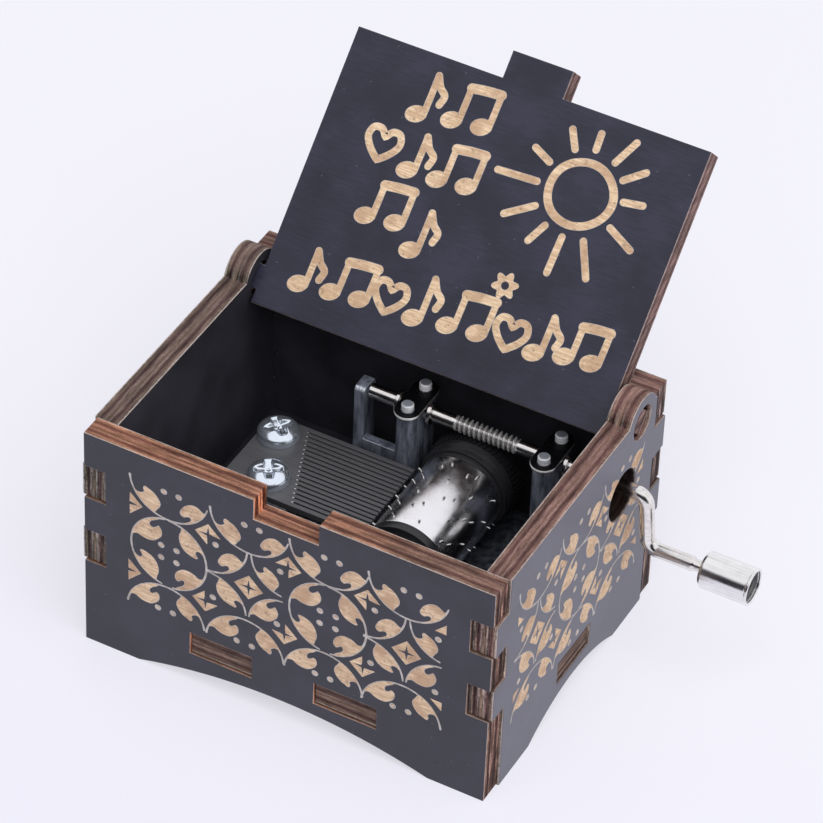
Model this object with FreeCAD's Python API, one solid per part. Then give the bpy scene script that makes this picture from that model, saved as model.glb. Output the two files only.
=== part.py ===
"""Hand cranked music box: an 18 note pinned drum and comb in a plywood box with a hinged lid.

Millimetres, +Z up, X along the front, Y towards the back. Every piece is drawn about the middle of
the box's footprint, and datum() carries it to the box's own frame, whose origin is the lower
left corner of the front panel. The lid is drawn open, resting on the back panel.
"""
import FreeCAD, Part
import math
import os
from FreeCAD import Vector

os.makedirs("parts", exist_ok=True)

X_AXIS = Vector(1, 0, 0)
Y_AXIS = Vector(0, 1, 0)
Z_AXIS = Vector(0, 0, 1)
ORIGIN = Vector(0, 0, 0)

# ---------------------------------------------------------------- driving dimensions: plywood box
ply = 3.8                    # thickness of every plywood panel
panel_length = 64.0          # front and back panels, along X
box_depth = 51.2             # front face of the front panel to rear face of the back panel
wall_height = 38.9           # top edge of the four walls above the table
side_proud = 0.45            # the side panels' faces stand this far past the front panel's ends
tenon_recess = 0.45          # tenon ends stop this far inside the face they come through
joint_gap = 0.1              # laser kerf: play between a tenon and its slot or notch
finger_height = 5.7          # side tenons, seen on the front and back panels
finger_centres = (30.0, 18.1)  # their heights above the table
foot_length = 8.8            # straight foot at each end of a panel's lower edge
arch_rise = 3.3              # height of the arched lower edge
base_height = 5.4            # underside of the base panel above the table
base_tenon_width = 9.8       # tenons of the base panel in all four walls
base_tenon_spacing = 19.86   # between the two in the front panel, and in the back panel

# ---------------------------------------------------------------- driving dimensions: lid
pivot_to_back = 4.4          # pivot axis to the inner face of the back panel
pivot_drop = 1.6             # pivot axis below the walls' top edge
ear_radius = 4.4             # round ears of the side panels about the pivot
pivot_hole_radius = 2.75
stub_width = 3.6             # square-cut pivot stubs of the lid, along the lid
stub_end_recess = 0.5        # stub ends stop this far inside the side panels' faces
lid_side_gap = 0.65          # between the lid and each side panel
lid_front_gap = 0.8          # between the closed lid and the front panel
lid_swing_gap = 0.12         # between the lid's swinging rear corner and the back panel
lid_rest_gap = 0.05          # between the open lid and the corner it leans on
tab_width = 9.6              # tab that drops into the front panel's notch
tab_notch_gap = 0.3          # notch wider than the tab, on each side
tab_floor_gap = 0.1          # between the closed tab and the notch's floor

# ---------------------------------------------------------------- driving dimensions: movement
bed_thickness = 1.8
bed_margin = 0.9             # bed past the pieces that stand on it
shaft_y = 13.9               # crank shaft axis, behind the box's middle
shaft_z = 27.7               # crank shaft axis above the table
rod_radius = 1.1             # bright wire that makes the shaft and the crank
running_gap = 0.05           # radial play of every shaft in its bearing
end_gap = 0.3                # end play between turning and standing faces
drum_x = 8.85                # drum axis, right of the box's middle
drum_radius = 6.35
drum_wall = 0.6
drum_length = 15.8           # bright shell
drum_rear_y = 9.2            # rear end of the shell
cap_length = 1.4             # black front cap
arbor_radius = 1.0
flange_radius = 6.9          # black stepped flange between the shell and the worm wheel
flange_step = 0.8            # length of its smaller step
flange_step_radius = 6.55
wheel_teeth = 56
wheel_tip_radius = 7.15
wheel_width = 3.2
tooth_depth = 0.45
worm_tip_radius = 1.25
mesh_gap = 0.08              # between a tip circle and the root it runs in
mesh_side_gap = 0.09         # between the flanks of thread and tooth, along the pitch line
worm_turns_left = 4          # worm turns left of the drum axis
worm_turns_right = 8
worm_facets = 8              # flats of the worm round one turn
thread_share = 0.36          # half the thread's width at its root, as a share of the pitch
notes = 18
note_pitch = 0.875           # tooth to tooth
comb_slit = 0.3              # slit between two teeth
comb_thickness = 1.1
comb_rise = 1.15             # comb's top face above the drum's axis
tooth_tip_thickness = 0.5
comb_rear_gap = 0.1          # comb's rear edge in front of the shell's rear end
comb_tip_gap = 0.14          # tooth tips to the circle of the pin tips
comb_left_x = -21.55
comb_chamfer = 4.3           # cut corner at the comb's rear left
bass_tooth_length = 17.15    # rear, longest tooth
treble_tooth_length = 11.1   # front, shortest tooth
weight_count = 7             # tuning weights under the longest teeth
pin_width = 0.32             # drum pins, square in section
pin_height = 0.72
pin_seat = 0.35              # depth of a pin in the drum's wall
beats = 66                   # steps of the tune round the drum

# bearings of the crank shaft
left_bearing_x = -1.1
right_bearing_x = 20.6
strap_length = 9.25          # black straps over the shaft, along Y
strap_radius = 1.95          # their rounded ends
strap_thickness = 0.4
stud_radius = 0.9
stud_stand = 1.0             # studs above the straps
stud_spacing = 5.35
post_inset = 0.45            # strap past its post, all round
stop_thickness = 1.6         # upright post at the shaft's left end
stop_depth = 3.4
rail_height = 8.6            # wall of the bed between stop post and left bearing
rail_thickness = 1.4
bracket_thickness = 1.6      # the drum arbor's two brackets
bracket_width = 7.0
bracket_crown = 2.6          # metal over the arbor
collar_radius = 1.5
collar_width = 0.6

# crank and knob
crank_throw = 9.15           # knob axis below the shaft axis
elbow_reach = 3.05           # first elbow past the right side panel
leg_slant = 0.8              # the leg leans out by this much
elbow_radius = 1.9
handle_length = 8.55         # second elbow to the knob
crank_hole_radius = 4.0
crank_hole_shift = 1.6       # hole's centre in front of the shaft
knob_radius = 2.8
knob_length = 7.75
knob_wall = 0.4
knob_floor = 0.9
pin_end_radius = 0.62        # necked end of the rod that the knob turns on
rivet_radius = 1.15
rivet_height = 0.45

# fasteners
comb_screw_radius = 3.05
comb_screw_head = 1.9
comb_screw_shank = 1.2
comb_screw_depth = 6.0
comb_screw_spacing = 9.3
screw_clearance = 0.06
recess_depth = 0.9
recess_width = 0.75
mount_screw_radius = 2.0
mount_screw_head = 1.2
mount_screw_shank = 0.95
mount_screw_places = ((-18.5, -2.4), (18.5, 5.0))

# ---------------------------------------------------------------- worked out from them
half_length = panel_length / 2
front_y = -box_depth / 2
back_y = box_depth / 2
inner_front = front_y + ply
inner_back = back_y - ply
side_outer = half_length + side_proud
side_inner = side_outer - ply
base_top = base_height + ply
bed_top = base_top + bed_thickness

pivot_y = inner_back - pivot_to_back
pivot_z = wall_height - pivot_drop
lid_half = side_inner - lid_side_gap
lid_tail = math.sqrt((pivot_to_back - lid_swing_gap) ** 2 - (ply / 2) ** 2)
lid_front = inner_front + lid_front_gap
lean_reach = math.hypot(pivot_to_back, pivot_drop)
lid_lean = math.acos((ply / 2 + lid_rest_gap) / lean_reach) - math.atan2(pivot_drop, pivot_to_back)
lid_open_angle = 90 + math.degrees(lid_lean)

worm_root_radius = worm_tip_radius - tooth_depth
drum_z = shaft_z - (wheel_tip_radius + worm_root_radius + mesh_gap)
wheel_root_radius = shaft_z - drum_z - worm_tip_radius - mesh_gap
wheel_pitch_radius = (wheel_tip_radius + wheel_root_radius) / 2
worm_pitch = 2 * math.pi * wheel_pitch_radius / wheel_teeth
worm_pitch_radius = (worm_tip_radius + worm_root_radius) / 2
wheel_front_y = shaft_y - wheel_width / 2
wheel_rear_y = shaft_y + wheel_width / 2
drum_front_y = drum_rear_y - drum_length
cap_front_y = drum_front_y - cap_length
front_bracket_y = cap_front_y - end_gap - bracket_thickness
rear_bracket_y = wheel_rear_y + end_gap

comb_top = drum_z + comb_rise
comb_bottom = comb_top - comb_thickness
comb_rear = drum_rear_y - comb_rear_gap
comb_front = comb_rear - notes * note_pitch
comb_tip_x = drum_x - drum_radius - pin_height - comb_tip_gap

post_top = shaft_z + rod_radius + running_gap
strap_top = post_top + strap_thickness
shaft_left_x = left_bearing_x - strap_radius - 5.4
collar_reach = strap_radius + end_gap + collar_width / 2
elbow_x = side_outer + elbow_reach
knob_z = shaft_z - crank_throw
knob_x = elbow_x + leg_slant + handle_length


# ---------------------------------------------------------------- helpers
def datum(shape):
    """Carry a piece from the middle of the footprint to the front panel's lower left corner."""
    return shape.translated(Vector(half_length, box_depth / 2, 0))


def save(name, shape):
    datum(shape).exportStep("parts/" + name + ".step")


def box(x0, x1, y0, y1, z0, z1):
    return Part.makeBox(x1 - x0, y1 - y0, z1 - z0, Vector(x0, y0, z0))


def rod(radius, start, end):
    return Part.makeCylinder(radius, (end - start).Length, start, end - start)


def plate(points, thickness, direction):
    """A flat piece with straight edges, from its outline's corners."""
    return Part.Face(Part.makePolygon(points + points[:1])).extrude(direction * thickness)


def slotted_plate(length, radius, centre, thickness):
    """A plate with round ends, long along Y, standing on centre."""
    reach = length / 2 - radius
    left = Vector(-radius, -reach, 0)
    right = Vector(radius, -reach, 0)
    edges = [
        Part.Arc(left, Vector(0, -reach - radius, 0), right).toShape(),
        Part.LineSegment(right, Vector(radius, reach, 0)).toShape(),
        Part.Arc(Vector(radius, reach, 0), Vector(0, reach + radius, 0), Vector(-radius, reach, 0)).toShape(),
        Part.LineSegment(Vector(-radius, reach, 0), left).toShape(),
    ]
    outline = Part.Face(Part.Wire(edges))
    outline.translate(centre)
    return outline.extrude(Z_AXIS * thickness)


# ---------------------------------------------------------------- plywood box
def wall_blank(half_width, height, to_3d, direction):
    """A wall panel with feet and an arched lower edge. to_3d maps (along, up) to a point."""
    foot = half_width - foot_length
    corners = ((-half_width, 0), (-half_width, height), (half_width, height), (half_width, 0))
    feet = [to_3d(along, up) for along, up in corners]
    edges = [Part.LineSegment(a, b).toShape() for a, b in zip(feet, feet[1:])]
    edges.append(Part.LineSegment(feet[3], to_3d(foot, 0)).toShape())
    edges.append(Part.Arc(to_3d(foot, 0), to_3d(0, arch_rise), to_3d(-foot, 0)).toShape())
    edges.append(Part.LineSegment(to_3d(-foot, 0), feet[0]).toShape())
    return Part.Face(Part.Wire(edges)).extrude(direction * ply)


def base_slots_in_long_wall(y):
    slots = []
    half = base_tenon_width / 2 + joint_gap
    for side in (-1, 1):
        middle = side * base_tenon_spacing / 2
        slots.append(box(middle - half, middle + half, y, y + ply,
                         base_height - joint_gap, base_top + joint_gap))
    return slots


def finger_notches(y):
    """Open notches in both ends of a long wall for the side panels' tenons."""
    notches = []
    half = finger_height / 2 + joint_gap
    for z in finger_centres:
        notches.append(box(side_inner - joint_gap, half_length, y, y + ply, z - half, z + half))
        notches.append(box(-half_length, joint_gap - side_inner, y, y + ply, z - half, z + half))
    return notches


def long_wall(y):
    blank = wall_blank(half_length, wall_height, lambda along, up: Vector(along, y, up), Y_AXIS)
    return blank.cut(finger_notches(y) + base_slots_in_long_wall(y))


def front_panel():
    notch_half = tab_width / 2 + tab_notch_gap
    floor = pivot_z - ply / 2 - tab_floor_gap
    return long_wall(front_y).cut(box(-notch_half, notch_half, front_y, inner_front, floor, wall_height))


def side_panel(side):
    """Side +1 is the right panel, with the crank's hole."""
    x = side_inner if side > 0 else -side_outer
    half_width = (inner_back - inner_front) / 2
    panel = wall_blank(half_width, wall_height, lambda along, up: Vector(x, along, up), X_AXIS)
    for z in finger_centres:
        panel = panel.fuse(box(x, x + ply, front_y + tenon_recess, back_y - tenon_recess,
                               z - finger_height / 2, z + finger_height / 2))
    pivot = Vector(x, pivot_y, pivot_z)
    ear = Part.makeCylinder(ear_radius, ply, pivot, X_AXIS)
    ear = ear.common(box(x, x + ply, pivot_y - ear_radius, inner_back, base_top, pivot_z + ear_radius))
    panel = panel.fuse(ear).removeSplitter()
    half = base_tenon_width / 2 + joint_gap
    holes = [
        Part.makeCylinder(pivot_hole_radius, ply, pivot, X_AXIS),
        box(x, x + ply, -half, half, base_height - joint_gap, base_top + joint_gap),
    ]
    if side > 0:
        centre = Vector(x, shaft_y - crank_hole_shift, shaft_z)
        holes.append(Part.makeCylinder(crank_hole_radius, ply, centre, X_AXIS))
    return panel.cut(holes)


def base_panel():
    panel = box(-side_inner, side_inner, inner_front, inner_back, base_height, base_top)
    half = base_tenon_width / 2
    for side in (-1, 1):
        middle = side * base_tenon_spacing / 2
        panel = panel.fuse(box(middle - half, middle + half, front_y + tenon_recess, back_y - tenon_recess,
                               base_height, base_top))
    reach = side_outer - tenon_recess
    panel = panel.fuse(box(-reach, reach, -half, half, base_height, base_top)).removeSplitter()
    holes = []
    for x, y in mount_screw_places:
        holes.append(Part.makeCylinder(mount_screw_shank + screw_clearance, ply, Vector(x, y, base_height)))
    return panel.cut(holes)


def lid():
    """Drawn closed about the pivot, then swung open until it leans on the back panel."""
    low = pivot_z - ply / 2
    high = pivot_z + ply / 2
    board = box(-lid_half, lid_half, lid_front, pivot_y + lid_tail, low, high)
    tab = box(-tab_width / 2, tab_width / 2, front_y + tenon_recess, lid_front, low, high)
    stub_reach = side_outer - stub_end_recess
    stubs = box(-stub_reach, stub_reach, pivot_y - stub_width / 2, pivot_y + stub_width / 2, low, high)
    shape = board.fuse([tab, stubs]).removeSplitter()
    shape.rotate(Vector(0, pivot_y, pivot_z), X_AXIS, -lid_open_angle)
    return shape


# ---------------------------------------------------------------- movement frame
def comb_root_points():
    """The two ends of the teeth's root line, rear and front, in plan."""
    rear = (comb_tip_x - bass_tooth_length, comb_rear)
    front = (comb_tip_x - treble_tooth_length, comb_front)
    return rear, front


def comb_plan(z):
    """Outline of the comb's solid part, left of the root line, in plan."""
    rear, front = comb_root_points()
    return [
        Vector(comb_left_x, comb_front, z),
        Vector(front[0], front[1], z),
        Vector(rear[0], rear[1], z),
        Vector(comb_left_x + comb_chamfer, comb_rear, z),
        Vector(comb_left_x, comb_rear - comb_chamfer, z),
    ]


def comb_screw_centres():
    """Both screws lie on a line parallel to the roots, midway to the comb's left edge."""
    rear, front = comb_root_points()
    along = Vector(front[0] - rear[0], front[1] - rear[1], 0).normalize()
    middle_y = (comb_rear + comb_front) / 2
    middle_x = (comb_left_x + (rear[0] + front[0]) / 2) / 2
    middle = Vector(middle_x, middle_y, comb_top)
    half = comb_screw_spacing / 2
    return [middle - along * half, middle + along * half]


def bearing_post(x):
    """A column under a strap, with an open groove that the shaft lies in and two studs on top."""
    radius = strap_radius - post_inset
    length = strap_length - 2 * post_inset
    post = slotted_plate(length, radius, Vector(x, shaft_y, bed_top), post_top - bed_top)
    for side in (-1, 1):
        foot = Vector(x, shaft_y + side * stud_spacing / 2, bed_top)
        post = post.fuse(Part.makeCylinder(stud_radius, strap_top + stud_stand - bed_top, foot))
    groove_half = rod_radius + running_gap
    left = x - strap_radius
    right = x + strap_radius
    groove = rod(groove_half, Vector(left, shaft_y, shaft_z), Vector(right, shaft_y, shaft_z))
    mouth = box(left, right, shaft_y - groove_half, shaft_y + groove_half, shaft_z, post_top)
    return post.cut([groove, mouth])


def arbor_bracket(y):
    """A round-topped plate with the bore of the drum's arbor."""
    half = bracket_width / 2
    top = drum_z + arbor_radius
    crown = Vector(drum_x, y, top + bracket_crown)
    corners = [Vector(drum_x - half, y, top), Vector(drum_x - half, y, bed_top),
               Vector(drum_x + half, y, bed_top), Vector(drum_x + half, y, top)]
    edges = [Part.LineSegment(a, b).toShape() for a, b in zip(corners, corners[1:])]
    edges.append(Part.Arc(corners[3], crown, corners[0]).toShape())
    bracket = Part.Face(Part.Wire(edges)).extrude(Y_AXIS * bracket_thickness)
    axis = Vector(drum_x, y, drum_z)
    return bracket.cut(Part.makeCylinder(arbor_radius + running_gap, bracket_thickness, axis, Y_AXIS))


def movement_frame():
    """Casting: bed, comb seat, two bearing posts, stop post with its rail, two arbor brackets."""
    bed_left = comb_left_x + bed_margin
    bed_right = right_bearing_x + strap_radius + bed_margin
    bed_rear = shaft_y + strap_length / 2
    bed = box(bed_left, bed_right, front_bracket_y, bed_rear, base_top, bed_top)
    upright = [e for e in bed.Edges if abs(e.tangentAt(e.FirstParameter).z) > 0.99]
    bed = bed.makeFillet(2 * bed_margin, upright)
    rear, front = comb_root_points()
    lead_in = Vector(-bed_margin, 0, 0)
    seat_plan = comb_plan(bed_top)
    seat_plan[1] += lead_in
    seat_plan[2] += lead_in
    seat_plan[0].x = bed_left
    seat_plan[4].x = bed_left
    seat = plate(seat_plan, comb_bottom - bed_top, Z_AXIS)
    stop_right = shaft_left_x - end_gap / 2
    stop_left = stop_right - stop_thickness
    stop = box(stop_left, stop_right, shaft_y - stop_depth / 2, shaft_y + stop_depth / 2, bed_top, post_top)
    along_x = [e for e in stop.Edges if abs(e.tangentAt(e.FirstParameter).x) > 0.99]
    crown = [e for e in along_x if e.CenterOfMass.z > drum_z]
    stop = stop.makeFillet(stop_thickness / 2, crown)
    rail_y = shaft_y - stop_depth / 2
    rail = box(stop_left, left_bearing_x, rail_y, rail_y + rail_thickness, bed_top, bed_top + rail_height)
    frame = bed.fuse([seat, stop, rail, bearing_post(left_bearing_x), bearing_post(right_bearing_x),
                      arbor_bracket(front_bracket_y), arbor_bracket(rear_bracket_y)])
    holes = []
    for centre in comb_screw_centres():
        bottom = comb_top - comb_screw_depth
        holes.append(Part.makeCylinder(comb_screw_shank + screw_clearance, comb_screw_depth,
                                       Vector(centre.x, centre.y, bottom)))
    for x, y in mount_screw_places:
        holes.append(Part.makeCylinder(mount_screw_shank + screw_clearance, bed_thickness,
                                       Vector(x, y, base_top)))
    return frame.cut(holes).removeSplitter()


def bearing_strap(x):
    strap = slotted_plate(strap_length, strap_radius, Vector(x, shaft_y, post_top), strap_thickness)
    holes = []
    for side in (-1, 1):
        foot = Vector(x, shaft_y + side * stud_spacing / 2, post_top)
        holes.append(Part.makeCylinder(stud_radius + screw_clearance, strap_thickness, foot))
    return strap.cut(holes)


# ---------------------------------------------------------------- comb
def comb():
    """One steel plate: the slits run from the tips to an oblique root line, the teeth thin out below."""
    rear, front = comb_root_points()
    outline = comb_plan(comb_bottom)
    points = [outline[0], Vector(comb_tip_x, comb_front, comb_bottom)]
    for note in range(1, notes):
        y = comb_front + note * note_pitch
        share = note / notes
        root_x = front[0] + (rear[0] - front[0]) * share
        points += [
            Vector(comb_tip_x, y - comb_slit / 2, comb_bottom),
            Vector(root_x, y - comb_slit / 2, comb_bottom),
            Vector(root_x, y + comb_slit / 2, comb_bottom),
            Vector(comb_tip_x, y + comb_slit / 2, comb_bottom),
        ]
    points += [Vector(comb_tip_x, comb_rear, comb_bottom), outline[3], outline[4]]
    steel = plate(points, comb_thickness, Z_AXIS)
    taper_x = front[0]
    taper = plate([
        Vector(taper_x, comb_front, comb_bottom),
        Vector(comb_tip_x, comb_front, comb_bottom),
        Vector(comb_tip_x, comb_front, comb_top - tooth_tip_thickness),
    ], comb_rear - comb_front, Y_AXIS)
    holes = [taper]
    for centre in comb_screw_centres():
        holes.append(Part.makeCylinder(comb_screw_shank + screw_clearance, comb_thickness,
                                       Vector(centre.x, centre.y, comb_bottom)))
    return steel.cut(holes)


def tuning_weights():
    """Lead slugs under the tips of the longest teeth, heavier towards the bass."""
    slugs = []
    width = note_pitch - 2 * comb_slit
    run = comb_tip_x - comb_root_points()[1][0]
    for number in range(weight_count):
        y = comb_rear - (number + 0.5) * note_pitch
        length = 3.2 - 0.3 * number
        right = comb_tip_x - 0.6
        left = right - length
        rise = (comb_thickness - tooth_tip_thickness) / run
        under_left = comb_bottom + (left - comb_root_points()[1][0]) * rise
        under_right = comb_bottom + (right - comb_root_points()[1][0]) * rise
        depth = under_left - 1.6 + 0.12 * number
        slugs.append(plate([
            Vector(left, y - width / 2, depth),
            Vector(right, y - width / 2, depth),
            Vector(right, y - width / 2, under_right),
            Vector(left, y - width / 2, under_left),
        ], width, Y_AXIS))
    return Part.makeCompound(slugs)


def cross_recess(top):
    arms = []
    reach = comb_screw_radius * 0.55
    for turn in (45, 135):
        arm = box(-reach, reach, -recess_width / 2, recess_width / 2, top - recess_depth, top)
        arm.rotate(ORIGIN, Z_AXIS, turn)
        arms.append(arm)
    return arms


def comb_screws():
    """Pan head screws with a cross recess."""
    screws = []
    for centre in comb_screw_centres():
        crown = Part.makeCylinder(comb_screw_radius, comb_screw_head)
        circles = [e for e in crown.Edges if e.Length > comb_screw_radius]
        rim = [e for e in circles if e.CenterOfMass.z > comb_screw_head / 2]
        crown = crown.makeChamfer(comb_screw_head / 2, rim)
        shank = Part.makeCylinder(comb_screw_shank, comb_screw_depth, Vector(0, 0, -comb_screw_depth))
        screw = crown.fuse(shank).cut(cross_recess(comb_screw_head))
        screws.append(screw.translated(centre))
    return Part.makeCompound(screws)


def mounting_screws():
    screws = []
    for x, y in mount_screw_places:
        top = Vector(x, y, base_height)
        head = Part.makeCylinder(mount_screw_radius, mount_screw_head, top, -Z_AXIS)
        shank = Part.makeCylinder(mount_screw_shank, bed_top - base_height, top)
        screws.append(head.fuse(shank))
    return Part.makeCompound(screws)


# ---------------------------------------------------------------- drum
def drum_tube(outer, inner, y0, y1):
    tube = rod(outer, Vector(drum_x, y0, drum_z), Vector(drum_x, y1, drum_z))
    return tube.cut(rod(inner, Vector(drum_x, y0, drum_z), Vector(drum_x, y1, drum_z)))


def drum_shell():
    return drum_tube(drum_radius, drum_radius - drum_wall, drum_front_y, drum_rear_y)


def drum_front_cap():
    """Black cap that closes the shell's front end."""
    return drum_tube(drum_radius, arbor_radius, cap_front_y, drum_front_y)


def drum_rear_flange():
    """Black stepped flange between the shell and the worm wheel."""
    step_end = drum_rear_y + flange_step
    small = drum_tube(flange_step_radius, arbor_radius, drum_rear_y, step_end)
    large = drum_tube(flange_radius, arbor_radius, step_end, wheel_front_y)
    return small.fuse(large)


def drum_arbor():
    start = Vector(drum_x, front_bracket_y, drum_z)
    end = Vector(drum_x, rear_bracket_y + bracket_thickness, drum_z)
    return rod(arbor_radius, start, end)


def drum_pins():
    """One pin for each beat, in the track of the tooth it plucks."""
    pins = []
    half = pin_width / 2
    for beat in range(beats):
        track = (beat * 7 + (beat // 6) * 5) % notes
        y = comb_front + (track + 0.5) * note_pitch
        pin = box(drum_radius - pin_seat, drum_radius + pin_height, y - half, y + half, -half, half)
        pin.rotate(ORIGIN, Y_AXIS, 360 * (beat + 0.25) / beats)
        pins.append(pin.translated(Vector(drum_x, 0, drum_z)))
    return Part.makeCompound(pins)


def worm_wheel():
    """Slanted teeth that follow the worm's lead: a ruled body between two turned outlines."""
    space = 2 * math.pi / wheel_teeth
    thread_half = worm_pitch / 4
    tooth_half = (worm_pitch / 2 - thread_half - mesh_side_gap) / wheel_pitch_radius
    flank = 0.35 * tooth_half
    lead_slope = worm_pitch / (2 * math.pi * worm_pitch_radius)

    def outline(y):
        slant = -(y - shaft_y) * lead_slope / wheel_pitch_radius
        points = []
        for tooth in range(wheel_teeth):
            middle = math.pi / 2 + (tooth + 0.5) * space + slant
            corners = (
                (-tooth_half - flank, wheel_root_radius), (-tooth_half + flank, wheel_tip_radius),
                (tooth_half - flank, wheel_tip_radius), (tooth_half + flank, wheel_root_radius),
            )
            for angle, radius in corners:
                points.append(Vector(drum_x + radius * math.cos(middle + angle), y,
                                     drum_z + radius * math.sin(middle + angle)))
        return Part.makePolygon(points + points[:1])

    wheel = Part.makeLoft([outline(wheel_front_y), outline(wheel_rear_y)], True, True)
    bore = rod(arbor_radius, Vector(drum_x, wheel_front_y, drum_z), Vector(drum_x, wheel_rear_y, drum_z))
    return wheel.cut(bore)


# ---------------------------------------------------------------- crank
def worm():
    """Right-hand thread along X on its core, in flats. It crosses the wheel's axis between two teeth."""
    turns = worm_turns_left + worm_turns_right
    start_x = drum_x - worm_turns_left * worm_pitch
    step = 2 * math.pi / worm_facets
    inside = worm_root_radius - running_gap
    root_half = worm_pitch * thread_share
    section = ((inside, -root_half), (worm_tip_radius, 0), (inside, root_half))

    def place(x, radius, angle):
        return Vector(x, shaft_y + radius * math.sin(angle), shaft_z - radius * math.cos(angle))

    rings = []
    for number in range(turns * worm_facets + 1):
        x = start_x + worm_pitch * number / worm_facets
        rings.append([place(x + shift, radius, number * step) for radius, shift in section])
    faces = [Part.Face(Part.makePolygon(ring + ring[:1])) for ring in (rings[0], rings[-1])]
    for ring, following in zip(rings, rings[1:]):
        for corner in range(len(section)):
            after = (corner + 1) % len(section)
            for third in (following[after], ring[after]):
                second = following[corner] if third is following[after] else following[after]
                faces.append(Part.Face(Part.makePolygon([ring[corner], second, third, ring[corner]])))
    thread = Part.makeSolid(Part.makeShell(faces))
    core_start = start_x - worm_pitch / 2
    core_length = (turns + 1) * worm_pitch
    core = [place(core_start, worm_root_radius, number * step) for number in range(worm_facets)]
    return thread.fuse(plate(core, core_length, X_AXIS))


def bent_rod():
    """The crank outside the box: one wire with two elbows, rounded by arcs."""
    corners = [
        Vector(side_outer, shaft_y, shaft_z),
        Vector(elbow_x, shaft_y, shaft_z),
        Vector(elbow_x + leg_slant, shaft_y, knob_z),
        Vector(knob_x, shaft_y, knob_z),
    ]
    edges = []
    start = corners[0]
    for before, corner, after in zip(corners, corners[1:], corners[2:]):
        into = (corner - before).normalize()
        out = (after - corner).normalize()
        turn = into.getAngle(out)
        setback = elbow_radius * math.tan(turn / 2)
        arc_start = corner - into * setback
        arc_end = corner + out * setback
        bisector = (out - into).normalize()
        centre = corner + bisector * (elbow_radius / math.cos(turn / 2))
        arc_middle = centre - bisector * elbow_radius
        edges.append(Part.LineSegment(start, arc_start).toShape())
        edges.append(Part.Arc(arc_start, arc_middle, arc_end).toShape())
        start = arc_end
    edges.append(Part.LineSegment(start, corners[-1]).toShape())
    section = Part.Wire(Part.makeCircle(rod_radius, corners[0], X_AXIS))
    return Part.Wire(edges).makePipeShell([section], True, True)


def crank_shaft():
    """Shaft, rolled worm, crank and the necked, riveted end for the knob, all one piece."""
    worm_start = drum_x - (worm_turns_left + 0.5) * worm_pitch
    worm_end = drum_x + (worm_turns_right + 0.5) * worm_pitch
    left = rod(rod_radius, Vector(shaft_left_x, shaft_y, shaft_z), Vector(worm_start, shaft_y, shaft_z))
    right = rod(rod_radius, Vector(worm_end, shaft_y, shaft_z), Vector(side_outer, shaft_y, shaft_z))
    neck_end = knob_x + end_gap + knob_floor + end_gap
    neck = rod(pin_end_radius, Vector(knob_x, shaft_y, knob_z), Vector(neck_end, shaft_y, knob_z))
    rivet_end = Vector(neck_end + rivet_height, shaft_y, knob_z)
    rivet = rod(rivet_radius, Vector(neck_end, shaft_y, knob_z), rivet_end)
    return left.fuse([worm(), right, bent_rod(), neck, rivet])


def shaft_collars():
    """Rings on the shaft: one at each side of the left bearing, one right of the right bearing."""
    rings = []
    middles = (left_bearing_x - collar_reach, left_bearing_x + collar_reach, right_bearing_x + collar_reach)
    for middle in middles:
        start = Vector(middle - collar_width / 2, shaft_y, shaft_z)
        end = Vector(middle + collar_width / 2, shaft_y, shaft_z)
        rings.append(rod(collar_radius, start, end).cut(rod(rod_radius, start, end)))
    return Part.makeCompound(rings)


def crank_knob():
    """Drawn cup, open at its outer end, with the bore it turns on in its floor."""
    start = Vector(knob_x + end_gap, shaft_y, knob_z)
    floor_end = start + X_AXIS * knob_floor
    end = start + X_AXIS * knob_length
    cup = rod(knob_radius, start, end)
    edge = [e for e in cup.Edges if e.Length > knob_radius and e.CenterOfMass.x < floor_end.x]
    cup = cup.makeChamfer(knob_wall, edge)
    return cup.cut([
        rod(knob_radius - knob_wall, floor_end, end),
        rod(pin_end_radius + running_gap, start, floor_end),
    ])


# ---------------------------------------------------------------- every node
save("front_panel", front_panel())
save("back_panel", long_wall(inner_back))
save("left_side_panel", side_panel(-1))
save("right_side_panel", side_panel(1))
save("base_panel", base_panel())
save("lid", lid())
save("movement_frame", movement_frame())
save("left_bearing_strap", bearing_strap(left_bearing_x))
save("right_bearing_strap", bearing_strap(right_bearing_x))
save("comb", comb())
save("comb_screws", comb_screws())
save("tuning_weights", tuning_weights())
save("mounting_screws", mounting_screws())
save("drum_shell", drum_shell())
save("drum_pins", drum_pins())
save("drum_front_cap", drum_front_cap())
save("drum_rear_flange", drum_rear_flange())
save("worm_wheel", worm_wheel())
save("drum_arbor", drum_arbor())
save("crank_shaft", crank_shaft())
save("shaft_collars", shaft_collars())
save("crank_knob", crank_knob())
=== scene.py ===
"""Looks of a hand cranked music box: painted plywood box, zinc and steel movement, bright crank.

Sizes are millimetres about the middle of the box's footprint, as in the part's own source, and
place() carries them to the part's frame in metres.
"""
import math
from contextlib import contextmanager

import bmesh
import bpy
import numpy as np
from mathutils import Matrix, Vector
from mathutils.geometry import delaunay_2d_cdt, tessellate_polygon


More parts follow.
